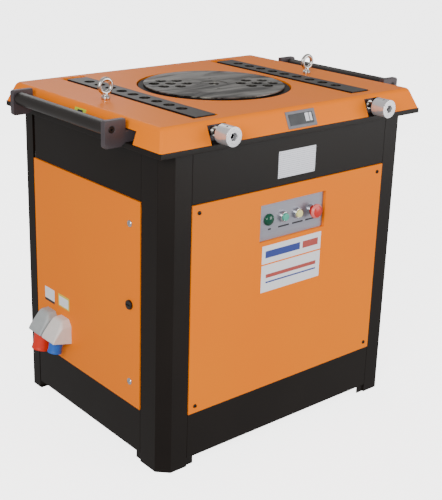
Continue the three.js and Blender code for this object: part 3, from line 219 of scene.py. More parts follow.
def finish_piece(made, name, material, body, smooth_below=40):
    """Turns a bmesh into a piece that rides on a body and takes its finish from a slot."""
    mesh = bpy.data.meshes.new(name)
    made.to_mesh(mesh)
    made.free()
    mesh.materials.append(material)
    mesh.shade_smooth()
    mesh.set_sharp_from_angle(angle=math.radians(smooth_below))
    piece = bpy.data.objects.new(name, mesh)
    bpy.context.scene.collection.objects.link(piece)
    weighting = piece.modifiers.new("even_shading", "WEIGHTED_NORMAL")
    weighting.keep_sharp = True
    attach(piece, body)
    return piece


def stand_for(made, node, material):
    """Finishes a piece that is shown instead of its CAD node."""
    piece = finish_piece(made, node + "_finished", material, body_with[node])
    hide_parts(node)
    return piece


SHEET_BEND = 0.0012
PLATE_EDGE = 0.001
GRAIN_SIZE = 0.0016  # about three times the real grain, so that it shows
TOUCHED_PATCH = 0.2
# Black powder coat: matt and warm, a little glossier where hands have touched it.
black_coat, tree, place = start_material("black_powder_coat")
grain = add_node(tree, "ShaderNodeTexNoise", {"Vector": place, "Scale": 1 / GRAIN_SIZE, "Detail": 2})
handled = add_node(
    tree, "ShaderNodeTexNoise", {"Vector": place, "Scale": 1 / TOUCHED_PATCH, "Detail": 4}
)
shade = add_node(
    tree, "ShaderNodeMix",
    {"Factor": handled.outputs["Fac"], 6: linear("#100A07"), 7: linear("#19120D")}, data_type="RGBA",
)
dull = add_node(
    tree, "ShaderNodeMapRange", {"Value": handled.outputs["Fac"], "To Min": 0.36, "To Max": 0.52}
)
relief = add_node(
    tree, "ShaderNodeBump", {"Height": grain.outputs["Fac"], "Strength": 0.12, "Distance": 0.0004}
)
end_material(
    tree, Base_Color=shade.outputs[2], Roughness=dull.outputs["Result"], Specular_IOR_Level=0.25,
    Normal=relief.outputs["Normal"],
)

for node in bodies["machine"]:
    if node.startswith(("corner_post", "top_band", "sill")):
        made = cad_copy(node)
        soften(made, SHEET_BEND)
        stand_for(made, node, black_coat)
made = cad_copy("under_plate")
soften(made, PLATE_EDGE)
stand_for(made, "under_plate", black_coat)

# ---- orange sheet metal ----
# The panels are pans of 2 mm sheet, the table a thick plate with a folded skirt. They are powder
# coated orange, smooth with a slight orange peel, and glossier than the frame.

PEEL_SIZE = 0.003
DRIFT_PATCH = 1 / 3
# Orange powder coat: one even warm colour with a soft gloss and a faint orange peel.
orange_coat, tree, place = start_material("orange_powder_coat")
peel = add_node(tree, "ShaderNodeTexNoise", {"Vector": place, "Scale": 1 / PEEL_SIZE, "Detail": 1})
drift = add_node(tree, "ShaderNodeTexNoise", {"Vector": place, "Scale": 1 / DRIFT_PATCH, "Detail": 3})
shade = add_node(
    tree, "ShaderNodeMix",
    {"Factor": drift.outputs["Fac"], 6: linear("#FF7D00"), 7: linear("#FF8900")}, data_type="RGBA",
)
dull = add_node(
    tree, "ShaderNodeMapRange", {"Value": drift.outputs["Fac"], "To Min": 0.3, "To Max": 0.42}
)
relief = add_node(
    tree, "ShaderNodeBump", {"Height": peel.outputs["Fac"], "Strength": 0.05, "Distance": 0.0004}
)
end_material(
    tree, Base_Color=shade.outputs[2], Roughness=dull.outputs["Result"], Specular_IOR_Level=0.08,
    Normal=relief.outputs["Normal"],
)

for node, bend_radius in [
    ("front_panel", 0.0009), ("rear_panel", 0.0009), ("right_panel", 0.0009), ("left_door", 0.0009),
    ("control_box", 0.0007), ("table_plate", 0.001),
]:
    made = cad_copy(node)
    soften(made, bend_radius)
    stand_for(made, node, orange_coat)

# ---- turntable ----
# A thick steel disc faced and ground on its top, with a step at the rim and two clusters of pin holes.
# The grinding leaves fine arcs round the middle. The duller and brighter bands are partly handling wear
# and partly painted reflection, and below the top face the steel is painted dark as shade.


def turned(profile, centre, along=(0, 0, 1), steps=64):
    """Spins a profile of (radius, height) pairs about an axis through centre."""
    made = bmesh.new()
    points = [made.verts.new((radius, 0, height)) for radius, height in profile]
    edges = [made.edges.new(pair) for pair in zip(points, points[1:])]
    bmesh.ops.spin(
        made, geom=points + edges, cent=(0, 0, 0), axis=(0, 0, 1), angle=2 * math.pi, steps=steps,
        use_merge=True,
    )
    bmesh.ops.remove_doubles(made, verts=made.verts, dist=0.000002)
    turn = Vector((0, 0, 1)).rotation_difference(Vector(along)).to_matrix().to_4x4()
    bmesh.ops.transform(made, matrix=Matrix.Translation(centre) @ turn, verts=made.verts)
    bmesh.ops.recalc_face_normals(made, faces=made.faces)
    return made


def gather(pieces):
    """Several shapes in one bmesh."""
    whole = bmesh.new()
    for piece in pieces:
        held = bpy.data.meshes.new("held")
        piece.to_mesh(held)
        piece.free()
        whole.from_mesh(held)
        bpy.data.meshes.remove(held)
    return whole


def combine(made, tool, operation):
    """Cuts tool from made, or joins it on."""
    objects = []
    for shape in (made, tool):
        mesh = bpy.data.meshes.new("held")
        shape.to_mesh(mesh)
        shape.free()
        held = bpy.data.objects.new("held", mesh)
        bpy.context.scene.collection.objects.link(held)
        objects.append(held)
    step = objects[0].modifiers.new("step", "BOOLEAN")
    step.operation = operation
    step.solver = "EXACT"
    step.object = objects[1]
    bpy.context.view_layer.update()
    ready = objects[0].evaluated_get(bpy.context.evaluated_depsgraph_get())
    result = bmesh.new()
    result.from_mesh(ready.to_mesh())
    ready.to_mesh_clear()
    for held in objects:
        mesh = held.data
        bpy.data.objects.remove(held)
        bpy.data.meshes.remove(mesh)
    bmesh.ops.remove_doubles(result, verts=result.verts, dist=0.000002)
    bmesh.ops.dissolve_limit(
        result, angle_limit=math.radians(0.5), verts=result.verts, edges=result.edges
    )
    return result


def rod(radius, low, high, centre, along=(0, 0, 1), steps=48):
    """A plain round bar between two heights along its axis."""
    return turned([(0, low), (radius, low), (radius, high), (0, high)], centre, along, steps)


CLUSTER_REACH = 0.119
CLUSTER_PITCH = 0.0445
CLUSTER_ANGLE = math.radians(149.5)
PIN_HOLE = 0.015
DISC_CHAMFER = 0.02
RIM_STEP = (0.0140, 0.0066)  # in from the rim, down from the top
RECESS = (0.038, 0.0012)  # radius and depth of the shallow middle, then of the bore for the pin
PIN_BORE = (0.0145, 0.03)
TAPPED_REACH = 0.072
TAPPED_HOLE = (0.004, 0.018)
THROUGH = 0.01
EDGE_BREAK = 0.0009
disc_low, disc_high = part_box("turntable_disc")
table_axis = Vector(((disc_low.x + disc_high.x) / 2, (disc_low.y + disc_high.y) / 2, 0))
disc_top = disc_high.z
disc_radius = (disc_high.x - disc_low.x) / 2
disc_profile = [
    (0, disc_low.z), (disc_radius - DISC_CHAMFER, disc_low.z), (disc_radius, disc_low.z + DISC_CHAMFER),
    (disc_radius, disc_top - RIM_STEP[1]), (disc_radius - RIM_STEP[0], disc_top - RIM_STEP[1]),
    (disc_radius - RIM_STEP[0] - 0.0005, disc_top), (RECESS[0], disc_top),
    (RECESS[0], disc_top - RECESS[1]), (PIN_BORE[0], disc_top - RECESS[1]),
    (PIN_BORE[0], disc_top - PIN_BORE[1]), (0, disc_top - PIN_BORE[1]),
]
disc = turned(disc_profile, table_axis, steps=144)
hole_tools = []
for half in (0, math.pi):
    angle = CLUSTER_ANGLE + half
    middle = table_axis + CLUSTER_REACH * Vector((math.cos(angle), math.sin(angle), 0))
    turns = [angle + i * math.pi / 3 for i in range(6)]
    spots = [middle] + [
        middle + CLUSTER_PITCH * Vector((math.cos(turn), math.sin(turn), 0)) for turn in turns
    ]
    for spot in spots:
        hole_tools.append(rod(PIN_HOLE, disc_low.z - THROUGH, disc_top + THROUGH, spot))
    side = angle + math.pi / 2
    tapped = table_axis + TAPPED_REACH * Vector((math.cos(side), math.sin(side), 0))
    hole_tools.append(
        rod(TAPPED_HOLE[0], disc_top - TAPPED_HOLE[1], disc_top + THROUGH, tapped, steps=24)
    )
disc = combine(disc, gather(hole_tools), "DIFFERENCE")
soften(disc, EDGE_BREAK, 2)

SCRATCH_GAP = 1 / 900  # about a millimetre, coarser than real grinding so that it shows
SCRATCH_SWEEP = 1 / 2.2
STREAK_LENGTH = 0.2
STREAK_WIDTH = 1 / 17
STREAK_TURN = 0.5
# Ground steel: long dull and bright streaks, partly wear and partly painted reflection, over fine arcs.
# Below the ground face, in the holes and on the rim's step, it is painted near black as shade.
ground_steel, tree, place = start_material("ground_steel_turntable")
centred = add_node(tree, "ShaderNodeMapping", {"Vector": place, "Location": -table_axis})
apart = add_node(tree, "ShaderNodeSeparateXYZ", {"Vector": centred.outputs["Vector"]})
flat = add_node(tree, "ShaderNodeCombineXYZ", {"X": apart.outputs["X"], "Y": apart.outputs["Y"]})
reach = add_node(tree, "ShaderNodeVectorMath", {0: flat.outputs["Vector"]}, operation="LENGTH")
round_about = add_node(
    tree, "ShaderNodeMath", {0: apart.outputs["Y"], 1: apart.outputs["X"]}, operation="ARCTAN2"
)
arcs = add_node(
    tree, "ShaderNodeCombineXYZ", {"X": reach.outputs["Value"], "Y": round_about.outputs["Value"]}
)
arc_stretch = add_node(
    tree, "ShaderNodeMapping",
    {"Vector": arcs.outputs["Vector"], "Scale": (1 / SCRATCH_GAP, 1 / SCRATCH_SWEEP, 1)},
)
scratches = add_node(
    tree, "ShaderNodeTexNoise",
    {"Vector": arc_stretch.outputs["Vector"], "Scale": 1, "Detail": 6, "Roughness": 0.7},
)
band_stretch = add_node(
    tree, "ShaderNodeMapping",
    {
        "Vector": centred.outputs["Vector"], "Rotation": (0, 0, STREAK_TURN),
        "Scale": (1 / STREAK_LENGTH, 1 / STREAK_WIDTH, 3),
    },
)
bands = add_node(
    tree, "ShaderNodeTexNoise",
    {
        "Vector": band_stretch.outputs["Vector"], "Scale": 1, "Detail": 6, "Roughness": 0.62,
        "Distortion": 1.1,
    },
)
# Bands from near black to light grey: partly wear, partly painted reflection.
band_ramp = add_node(
    tree, "ShaderNodeMapRange", {"Value": bands.outputs["Fac"], "From Min": 0.38, "From Max": 0.66}
)
shade = add_node(
    tree, "ShaderNodeMix",
    {"Factor": band_ramp.outputs["Result"], 6: linear("#262320"), 7: linear("#A29E99")}, data_type="RGBA",
)
bands_wear_and_reflection = add_node(
    tree, "ShaderNodeMix",
    {"Factor": 0.3, 6: shade.outputs[2], 7: scratches.outputs["Color"]},
    data_type="RGBA", blend_type="SOFT_LIGHT",
)
# Below the ground top face the colour turns near black and loses its metal: painted shade in holes and step.
ground = add_node(
    tree, "ShaderNodeMapRange",
    {"Value": apart.outputs["Z"], "From Min": disc_top - 0.0030, "From Max": disc_top - 0.0025},
)
top_over_painted_shade = add_node(
    tree, "ShaderNodeMix",
    {"Factor": ground.outputs["Result"], 6: linear("#171412"), 7: bands_wear_and_reflection.outputs[2]}, data_type="RGBA",
)
metal = add_node(
    tree, "ShaderNodeMapRange", {"Value": ground.outputs["Result"], "To Min": 0, "To Max": 0.85}
)
dull = add_node(
    tree, "ShaderNodeMapRange", {"Value": bands.outputs["Fac"], "To Min": 0.5, "To Max": 0.3}
)
relief = add_node(
    tree, "ShaderNodeBump", {"Height": scratches.outputs["Fac"], "Strength": 0.25, "Distance": 0.0002}
)
end_material(
    tree, Base_Color=top_over_painted_shade.outputs[2], Metallic=metal.outputs["Result"], Roughness=dull.outputs["Result"],
    Specular_IOR_Level=0.05, Normal=relief.outputs["Normal"],
)
stand_for(disc, "turntable_disc", ground_steel)

# A short bright pin is pressed into the middle of the turntable and locates the bending bush. It is
# ground steel rubbed bright, with a faint haze.
PIN_HAZE = 1 / 240
PIN_RADIUS = 0.0105
bright_pin, tree, place = start_material("ground_locating_pin")
haze = add_node(tree, "ShaderNodeTexNoise", {"Vector": place, "Scale": 1 / PIN_HAZE, "Detail": 2})
dull = add_node(
    tree, "ShaderNodeMapRange", {"Value": haze.outputs["Fac"], "To Min": 0.15, "To Max": 0.3}
)
end_material(tree, Base_Color=linear("#DAD8D4"), Metallic=0.7, Roughness=dull.outputs["Result"])
centre_pin = turned(
    [(0, -0.029), (PIN_RADIUS, -0.029), (PIN_RADIUS, -0.006), (PIN_RADIUS - 0.002, -0.004), (0, -0.004)],
    table_axis + Vector((0, 0, disc_top)), steps=40,
)
soften(centre_pin, 0.0004, 1)
finish_piece(centre_pin, "turntable_centre_pin", bright_pin, "turntable")

# ---- hole strips ----
# Two flat bars with a row of pin holes lie in the table's slots. They are drawn steel, oiled and
# dark, with fine lines along their length.

STRIP_HOLE = 0.0145
STRIP_HOLE_PITCH = 0.0505
STRIP_ROW_SHIFT = 0.003
STRIP_THICKNESS = 0.019
NUT_HALF = 0.016
NUT_SPAN = (0.002, 0.03)
SCREW_BORE = 0.0083
DRAWN_LINE = 1 / 700  # drawn lines are finer than this, and only show when they are spaced so
DRAWN_LENGTH = 1 / 12
OIL_PATCH = 1 / 14
# Drawn steel under oil: nearly black, with a satin gloss that comes and goes along the bar.
oiled_steel, tree, place = start_material("oiled_drawn_steel")
along_bar = add_node(
    tree, "ShaderNodeMapping",
    {"Vector": place, "Scale": (1 / DRAWN_LINE, 1 / DRAWN_LENGTH, 1 / DRAWN_LINE)},
)
lines = add_node(
    tree, "ShaderNodeTexNoise", {"Vector": along_bar.outputs["Vector"], "Scale": 1, "Detail": 4}
)
oil = add_node(
    tree, "ShaderNodeTexNoise", {"Vector": place, "Scale": 1 / OIL_PATCH, "Detail": 5, "Roughness": 0.6}
)
shade = add_node(
    tree, "ShaderNodeMix",
    {"Factor": oil.outputs["Fac"], 6: linear("#2B2725"), 7: linear("#524D4A")}, data_type="RGBA",
)
dull = add_node(tree, "ShaderNodeMapRange", {"Value": oil.outputs["Fac"], "To Min": 0.34, "To Max": 0.5})
relief = add_node(
    tree, "ShaderNodeBump", {"Height": lines.outputs["Fac"], "Strength": 0.15, "Distance": 0.0002}
)
end_material(
    tree, Base_Color=shade.outputs[2], Metallic=0.9, Roughness=dull.outputs["Result"],
    Normal=relief.outputs["Normal"],
)


def slab(low, high):
    """A block between two corners."""
    made = bmesh.new()
    bmesh.ops.create_cube(made, size=1)
    low, high = Vector(low), Vector(high)
    bmesh.ops.scale(made, vec=high - low, verts=made.verts)
    bmesh.ops.translate(made, vec=(low + high) / 2, verts=made.verts)
    return made


for side in ("left", "right"):
    strip_low, strip_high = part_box("hole_strip_" + side)
    strip_bottom = strip_high.z - STRIP_THICKNESS
    strip_x = (strip_low.x + strip_high.x) / 2
    strip = slab((strip_low.x, strip_low.y, strip_bottom), strip_high)
    nut = slab(
        (strip_x - NUT_HALF, strip_low.y + NUT_SPAN[0], strip_low.z),
        (strip_x + NUT_HALF, strip_low.y + NUT_SPAN[1], strip_bottom + 0.001),
    )
    strip = combine(strip, nut, "UNION")
    row_middle = table_axis.y + STRIP_ROW_SHIFT
    tools = [
        rod(
            STRIP_HOLE, strip_bottom - THROUGH, strip_high.z + THROUGH,
            (strip_x, row_middle + i * STRIP_HOLE_PITCH, 0),
        )
        for i in range(-4, 5)
    ]
    screw_low, screw_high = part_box("lead_screw_" + side)
    screw_z = (screw_low.z + screw_high.z) / 2
    nut_bore = rod(
        SCREW_BORE, strip_low.y - THROUGH, strip_low.y + 0.05, (strip_x, 0, screw_z), (0, 1, 0), 32
    )
    tools.append(nut_bore)
    strip = combine(strip, gather(tools), "DIFFERENCE")
    soften(strip, 0.0007)
    stand_for(strip, "hole_strip_" + side, oiled_steel)
    rail = cad_copy("strip_rail_" + side)
    soften(rail, 0.0005, 1)
    stand_for(rail, "strip_rail_" + side, oiled_steel)

# ---- adjusting knobs and their screws ----
# Turned aluminium knobs with a hexagon socket for a bar or key. A dark set screw clamps each on its
# lead screw. Turning leaves rings round the axis and a bright band of reflections.

KNOB_RADIUS = 0.024
KNOB_SOCKET = 0.0105
KNOB_SOCKET_DEPTH = 0.012
SET_SCREW = 0.0026
SET_SCREW_ANGLE = math.radians(108)
TOOL_MARK = 1 / 1600
# Turned aluminium: silvery and bright, with rings from the tool that stretch its highlights.
turned_aluminium, tree, place = start_material("turned_aluminium")
along_knob = add_node(tree, "ShaderNodeMapping", {"Vector": place, "Scale": (8, 1 / TOOL_MARK, 8)})
rings = add_node(
    tree, "ShaderNodeTexNoise", {"Vector": along_knob.outputs["Vector"], "Scale": 1, "Detail": 3}
)
relief = add_node(
    tree, "ShaderNodeBump", {"Height": rings.outputs["Fac"], "Strength": 0.2, "Distance": 0.0001}
)
shade = add_node(
    tree, "ShaderNodeMix",
    {"Factor": rings.outputs["Fac"], 6: linear("#C2C2C5"), 7: linear("#EEEEF0")}, data_type="RGBA",
)
end_material(
    tree, Base_Color=shade.outputs[2], Metallic=0.6, Roughness=0.26, Normal=relief.outputs["Normal"]
)

ZINC_CLOUD = 1 / 90
# Zinc plating: a bright warm grey, slightly clouded.
plated_steel, tree, place = start_material("zinc_plated_steel")
cloud = add_node(tree, "ShaderNodeTexNoise", {"Vector": place, "Scale": 1 / ZINC_CLOUD, "Detail": 4})
shade = add_node(
    tree, "ShaderNodeMix",
    {"Factor": cloud.outputs["Fac"], 6: linear("#B9B6B0"), 7: linear("#DAD8D4")}, data_type="RGBA",
)
dull = add_node(
    tree, "ShaderNodeMapRange", {"Value": cloud.outputs["Fac"], "To Min": 0.2, "To Max": 0.36}
)
relief = add_node(
    tree, "ShaderNodeBump", {"Height": cloud.outputs["Fac"], "Strength": 0.08, "Distance": 0.0005}
)
end_material(
    tree, Base_Color=shade.outputs[2], Metallic=1.0, Roughness=dull.outputs["Result"],
    Normal=relief.outputs["Normal"],
)

SOOT_GRAIN = 1 / 600
# Blackened steel: oxide over a machined screw, dark with a dull sheen.
blackened, tree, place = start_material("blackened_steel_screws")
soot = add_node(tree, "ShaderNodeTexNoise", {"Vector": place, "Scale": 1 / SOOT_GRAIN, "Detail": 2})
shade = add_node(
    tree, "ShaderNodeMix",
    {"Factor": soot.outputs["Fac"], 6: linear("#171514"), 7: linear("#2E2A28")}, data_type="RGBA",
)
end_material(tree, Base_Color=shade.outputs[2], Metallic=0.6, Roughness=0.42)

for side in ("left", "right"):
    knob_low, knob_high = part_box("knob_" + side)
    axis_x = (knob_low.x + knob_high.x) / 2
    axis_z = (knob_low.z + knob_high.z) / 2
    length = knob_high.y - knob_low.y
    knob = rod(KNOB_RADIUS, 0, length, (axis_x, knob_low.y, axis_z), (0, 1, 0), 96)
    socket = rod(KNOB_SOCKET, -0.005, KNOB_SOCKET_DEPTH, (axis_x, knob_low.y, axis_z), (0, 1, 0), 6)
    bore = rod(
        SCREW_BORE, KNOB_SOCKET_DEPTH - 0.0005, length + 0.005, (axis_x, knob_low.y, axis_z), (0, 1, 0), 32
    )
    knob = combine(knob, gather([socket]), "DIFFERENCE")
    knob = combine(knob, bore, "DIFFERENCE")
    out = Vector((math.cos(SET_SCREW_ANGLE), 0, math.sin(SET_SCREW_ANGLE)))
    screw_place = Vector((axis_x, knob_low.y + 0.4 * length, axis_z))
    knob = combine(knob, rod(SET_SCREW + 0.0002, 0.012, 0.03, screw_place, out, 24), "DIFFERENCE")
    soften(knob, 0.0011, 3, 50)
    stand_for(knob, "knob_" + side, turned_aluminium)
    set_screw = rod(SET_SCREW, 0.0125, KNOB_RADIUS - 0.001, screw_place, out, 24)
    finish_piece(set_screw, "knob_set_screw_" + side, blackened, "knob_" + side)

    lead = cad_copy("lead_screw_" + side)
    soften(lead, 0.0004, 1, 50)
    stand_for(lead, "lead_screw_" + side, plated_steel)

# ---- side rollers ----
# A steel tube runs on a fixed axle between two thick cheeks bolted under the table edge. The tube is
# drawn and darkened by use, the cheeks are painted grey.

AXLE_BORE = 0.0086
TUBE_END = 0.014
TUBE_WALL = 0.003
PAINT_GRIT = 1 / 500
RUBBED_PATCH = 1 / 25
# Grey enamel on thick plate, slightly gritty and rubbed.
grey_paint, tree, place = start_material("grey_painted_plate")
grit = add_node(tree, "ShaderNodeTexNoise", {"Vector": place, "Scale": 1 / PAINT_GRIT, "Detail": 2})
rub = add_node(tree, "ShaderNodeTexNoise", {"Vector": place, "Scale": 1 / RUBBED_PATCH, "Detail": 4})
shade = add_node(
    tree, "ShaderNodeMix",
    {"Factor": rub.outputs["Fac"], 6: linear("#3F383B"), 7: linear("#51494D")}, data_type="RGBA",
)
relief = add_node(
    tree, "ShaderNodeBump", {"Height": grit.outputs["Fac"], "Strength": 0.1, "Distance": 0.0003}
)
end_material(
    tree, Base_Color=shade.outputs[2], Metallic=0.15, Roughness=0.45, Normal=relief.outputs["Normal"]
)

SMEAR_WIDTH = 1 / 60
SMEAR_LENGTH = 1 / 6
# Drawn tube darkened by oil and bars: smears along it, with one soft line of light.
dark_tube, tree, place = start_material("drawn_roller_tube")
along_tube = add_node(
    tree, "ShaderNodeMapping",
    {"Vector": place, "Scale": (1 / SMEAR_WIDTH, 1 / SMEAR_LENGTH, 1 / SMEAR_WIDTH)},
)
smears = add_node(
    tree, "ShaderNodeTexNoise", {"Vector": along_tube.outputs["Vector"], "Scale": 1, "Detail": 5}
)
shade = add_node(
    tree, "ShaderNodeMix",
    {"Factor": smears.outputs["Fac"], 6: linear("#1F1B1A"), 7: linear("#3B3633")}, data_type="RGBA",
)
dull = add_node(
    tree, "ShaderNodeMapRange", {"Value": smears.outputs["Fac"], "To Min": 0.3, "To Max": 0.45}
)
end_material(
    tree, Base_Color=shade.outputs[2], Metallic=0.35, Roughness=dull.outputs["Result"],
    Specular_IOR_Level=0.3,
)

for side in ("left", "right"):
    tube_low, tube_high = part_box("roller_" + side)
    tube_radius = (tube_high.x - tube_low.x) / 2
    tube_middle = (tube_low + tube_high) / 2
    half = (tube_high.y - tube_low.y) / 2
    inside = tube_radius - TUBE_WALL
    inner_half = half - TUBE_END
    tube = turned(
        [(AXLE_BORE, -half), (tube_radius, -half), (tube_radius, half), (AXLE_BORE, half),
         (AXLE_BORE, inner_half), (inside, inner_half), (inside, -inner_half),
         (AXLE_BORE, -inner_half), (AXLE_BORE, -half)],
        tube_middle, (0, 1, 0), 64,
    )
    soften(tube, 0.0008, 2, 50)
    stand_for(tube, "roller_" + side, dark_tube)

    axle = cad_copy("roller_axle_" + side)
    soften(axle, 0.0006, 1, 50)
    stand_for(axle, "roller_axle_" + side, blackened)
    for end in ("front", "rear"):
        cheek = cad_copy(f"roller_bracket_{side}_{end}")
        soften(cheek, 0.0016, 2, 40)
        stand_for(cheek, f"roller_bracket_{side}_{end}", grey_paint)

support = cad_copy("screw_support_bar")
soften(support, 0.0006, 1, 40)
stand_for(support, "screw_support_bar", grey_paint)

# ---- lifting eyes ----
# Forged eye bolts, zinc plated: ring, neck and collar flow into each other.

EYE_VOXEL = 0.0008
EYE_RING = 0.0175
EYE_WIRE = 0.0055
EYE_SHANK = 0.005
EYE_COLLAR = (0.011, 0.006)
EYE_NECK = 0.006
for side in ("left", "right"):
    eye_low, eye_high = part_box("lifting_eye_" + side)
    eye_x = (eye_low.x + eye_high.x) / 2
    eye_y = (eye_low.y + eye_high.y) / 2
    ring_z = eye_high.z - EYE_RING - EYE_WIRE
    foot_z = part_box("table_plate")[1].z + 0.0003
    ring = bmesh.new()
    bmesh.ops.create_circle(ring, segments=24, radius=EYE_WIRE)
    bmesh.ops.translate(ring, vec=(EYE_RING, 0, 0), verts=ring.verts)
    bmesh.ops.spin(
        ring, geom=ring.verts[:] + ring.edges[:], cent=(0, 0, 0), axis=(0, 1, 0), angle=2 * math.pi, steps=56,
        use_merge=True,
    )
    bmesh.ops.remove_doubles(ring, verts=ring.verts, dist=0.000002)
    bmesh.ops.recalc_face_normals(ring, faces=ring.faces)
    bmesh.ops.translate(ring, vec=(eye_x, eye_y, ring_z), verts=ring.verts)
    stem = turned(
        [(0, eye_low.z), (EYE_SHANK, eye_low.z), (EYE_SHANK, foot_z), (EYE_COLLAR[0], foot_z),
         (EYE_COLLAR[0], foot_z + EYE_COLLAR[1]),
         (EYE_COLLAR[0] - 0.0015, foot_z + EYE_COLLAR[1] + 0.002),
         (EYE_NECK + 0.0008, foot_z + EYE_COLLAR[1] + 0.004), (EYE_NECK, ring_z - EYE_RING),
         (0, ring_z - EYE_RING)],
        (eye_x, eye_y, 0), steps=40,
    )
    eye = finish_piece(
        gather([ring, stem]), f"lifting_eye_{side}_finished", plated_steel, "machine", 60
    )
    eye.modifiers.clear()
    merge = eye.modifiers.new("forge", "REMESH")
    merge.mode = "VOXEL"
    merge.voxel_size = EYE_VOXEL
    merge.use_smooth_shade = True
    flow = eye.modifiers.new("flow", "SMOOTH")
    flow.factor = 0.5
    flow.iterations = 5
    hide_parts("lifting_eye_" + side)

# ---- control plate and operators ----
# A brushed aluminium plate lies in the recess of the front panel. It carries a domed green lamp, two
# push buttons in chromed bezels and a red mushroom stop button. A dark printed strip stands under each.

OPERATOR_HOLE = 0.0113
STROKE_LENGTH = 1 / 14
STROKE_WIDTH = 1 / 1200
# Brushed aluminium: cool grey with strokes across the plate.
brushed_plate, tree, place = start_material("brushed_aluminium")
along_brush = add_node(
    tree, "ShaderNodeMapping",
    {"Vector": place, "Scale": (1 / STROKE_LENGTH, 1 / STROKE_WIDTH, 1 / STROKE_WIDTH)},
)
strokes = add_node(
    tree, "ShaderNodeTexNoise", {"Vector": along_brush.outputs["Vector"], "Scale": 1, "Detail": 5}
)
shade = add_node(
    tree, "ShaderNodeMix",
    {"Factor": strokes.outputs["Fac"], 6: linear("#8E8E9A"), 7: linear("#ABABB6")}, data_type="RGBA",
)
relief = add_node(
    tree, "ShaderNodeBump", {"Height": strokes.outputs["Fac"], "Strength": 0.15, "Distance": 0.0001}
)
end_material(
    tree, Base_Color=shade.outputs[2], Metallic=0.7, Roughness=0.42, Normal=relief.outputs["Normal"]
)

plate_low, plate_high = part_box("control_plate")
plate = slab(plate_low, plate_high)
operator_places = []
for node in ("pilot_lamp", "green_button", "yellow_button", "stop_button"):
    low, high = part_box(node)
    operator_places.append(Vector(((low.x + high.x) / 2, plate_low.y, (low.z + high.z) / 2)))
operator_holes = gather(
    [rod(OPERATOR_HOLE, -THROUGH, THROUGH, spot, (0, 1, 0)) for spot in operator_places]
)
plate = combine(plate, operator_holes, "DIFFERENCE")
soften(plate, 0.0004, 1)
stand_for(plate, "control_plate", brushed_plate)

CHROME_HAZE = 1 / 300
# Chrome plating: a sharp mirror with a trace of haze.
chrome, tree, place = start_material("chromed_bezel")
haze = add_node(tree, "ShaderNodeTexNoise", {"Vector": place, "Scale": 1 / CHROME_HAZE, "Detail": 2})
dull = add_node(
    tree, "ShaderNodeMapRange", {"Value": haze.outputs["Fac"], "To Min": 0.08, "To Max": 0.18}
)
end_material(tree, Base_Color=linear("#D8D8DA"), Metallic=1.0, Roughness=dull.outputs["Result"])

FLOW_PATCH = 1 / 60
PORE_SIZE = 1 / 900


def moulded_plastic(name, dark, light, roughness):
    """Moulded plastic: a barely uneven colour under an even gloss."""
    made, tree, place = start_material(name)
    flow = add_node(tree, "ShaderNodeTexNoise", {"Vector": place, "Scale": 1 / FLOW_PATCH, "Detail": 2})
    pores = add_node(tree, "ShaderNodeTexNoise", {"Vector": place, "Scale": 1 / PORE_SIZE, "Detail": 1})
    shade = add_node(
        tree, "ShaderNodeMix",
        {"Factor": flow.outputs["Fac"], 6: linear(dark), 7: linear(light)}, data_type="RGBA",
    )
    relief = add_node(
        tree, "ShaderNodeBump", {"Height": pores.outputs["Fac"], "Strength": 0.05, "Distance": 0.0002}
    )
    end_material(
        tree, Base_Color=shade.outputs[2], Roughness=roughness, IOR=1.5, Normal=relief.outputs["Normal"]
    )
    return made


# The lamp's lens is clear acrylic dyed deep green, and the buttons' caps are glossy coloured plastic.
green_lens = moulded_plastic("green_acrylic_lens", "#023A2A", "#0B5F45", 0.12)
green_cap = moulded_plastic("green_button_plastic", "#3FA890", "#58C0A6", 0.3)
yellow_cap = moulded_plastic("yellow_button_plastic", "#EBE48E", "#F7F1A8", 0.3)
red_cap = moulded_plastic("red_button_plastic", "#CE2620", "#DB322A", 0.28)
# A paler copy of the cap's red, for the painted highlight on the stop button's shoulder.
painted_highlight_red = moulded_plastic("red_plastic_painted_highlight", "#E8716B", "#F08580", 0.3)

lamp_place, green_place, yellow_place, stop_place = operator_places
outwards = (0, -1, 0)
lens = turned(
    [(0, -0.034), (0.011, -0.034), (0.011, 0.0003), (0.0138, 0.0003), (0.0138, 0.003), (0.0132, 0.0055),
     (0.0105, 0.008), (0.006, 0.0093), (0, 0.0098)],
    lamp_place, outwards, 64,
)
soften(lens, 0.0004, 2, 40)
stand_for(lens, "pilot_lamp", green_lens)
lamp_collar = turned(
    [
        (0.0139, 0.0002), (0.0158, 0.0002), (0.0158, 0.003), (0.0152, 0.0042), (0.0139, 0.0042),
        (0.0139, 0.0002),
    ],
    lamp_place, outwards, 64,
)
finish_piece(lamp_collar, "pilot_lamp_collar", green_lens, "machine")

for node, spot, cap in (
    ("green_button", green_place, green_cap), ("yellow_button", yellow_place, yellow_cap),
):
    button = turned(
        [(0, -0.03), (0.006, -0.03), (0.006, 0.0055), (0.01, 0.0055), (0.01, 0.0125), (0.0092, 0.0138),
         (0.007, 0.0142), (0, 0.0142)],
        spot, outwards, 64,
    )
    soften(button, 0.0005, 2, 50)
    stand_for(button, node, cap)
    bezel = turned(
        [(0.0104, 0.0002), (0.0142, 0.0002), (0.0145, 0.0015), (0.0138, 0.0075), (0.0125, 0.0092),
         (0.0109, 0.0092), (0.0104, 0.0085), (0.0104, 0.0002)],
        spot, outwards, 64,
    )
    finish_piece(bezel, node + "_bezel", chrome, "machine", 60)

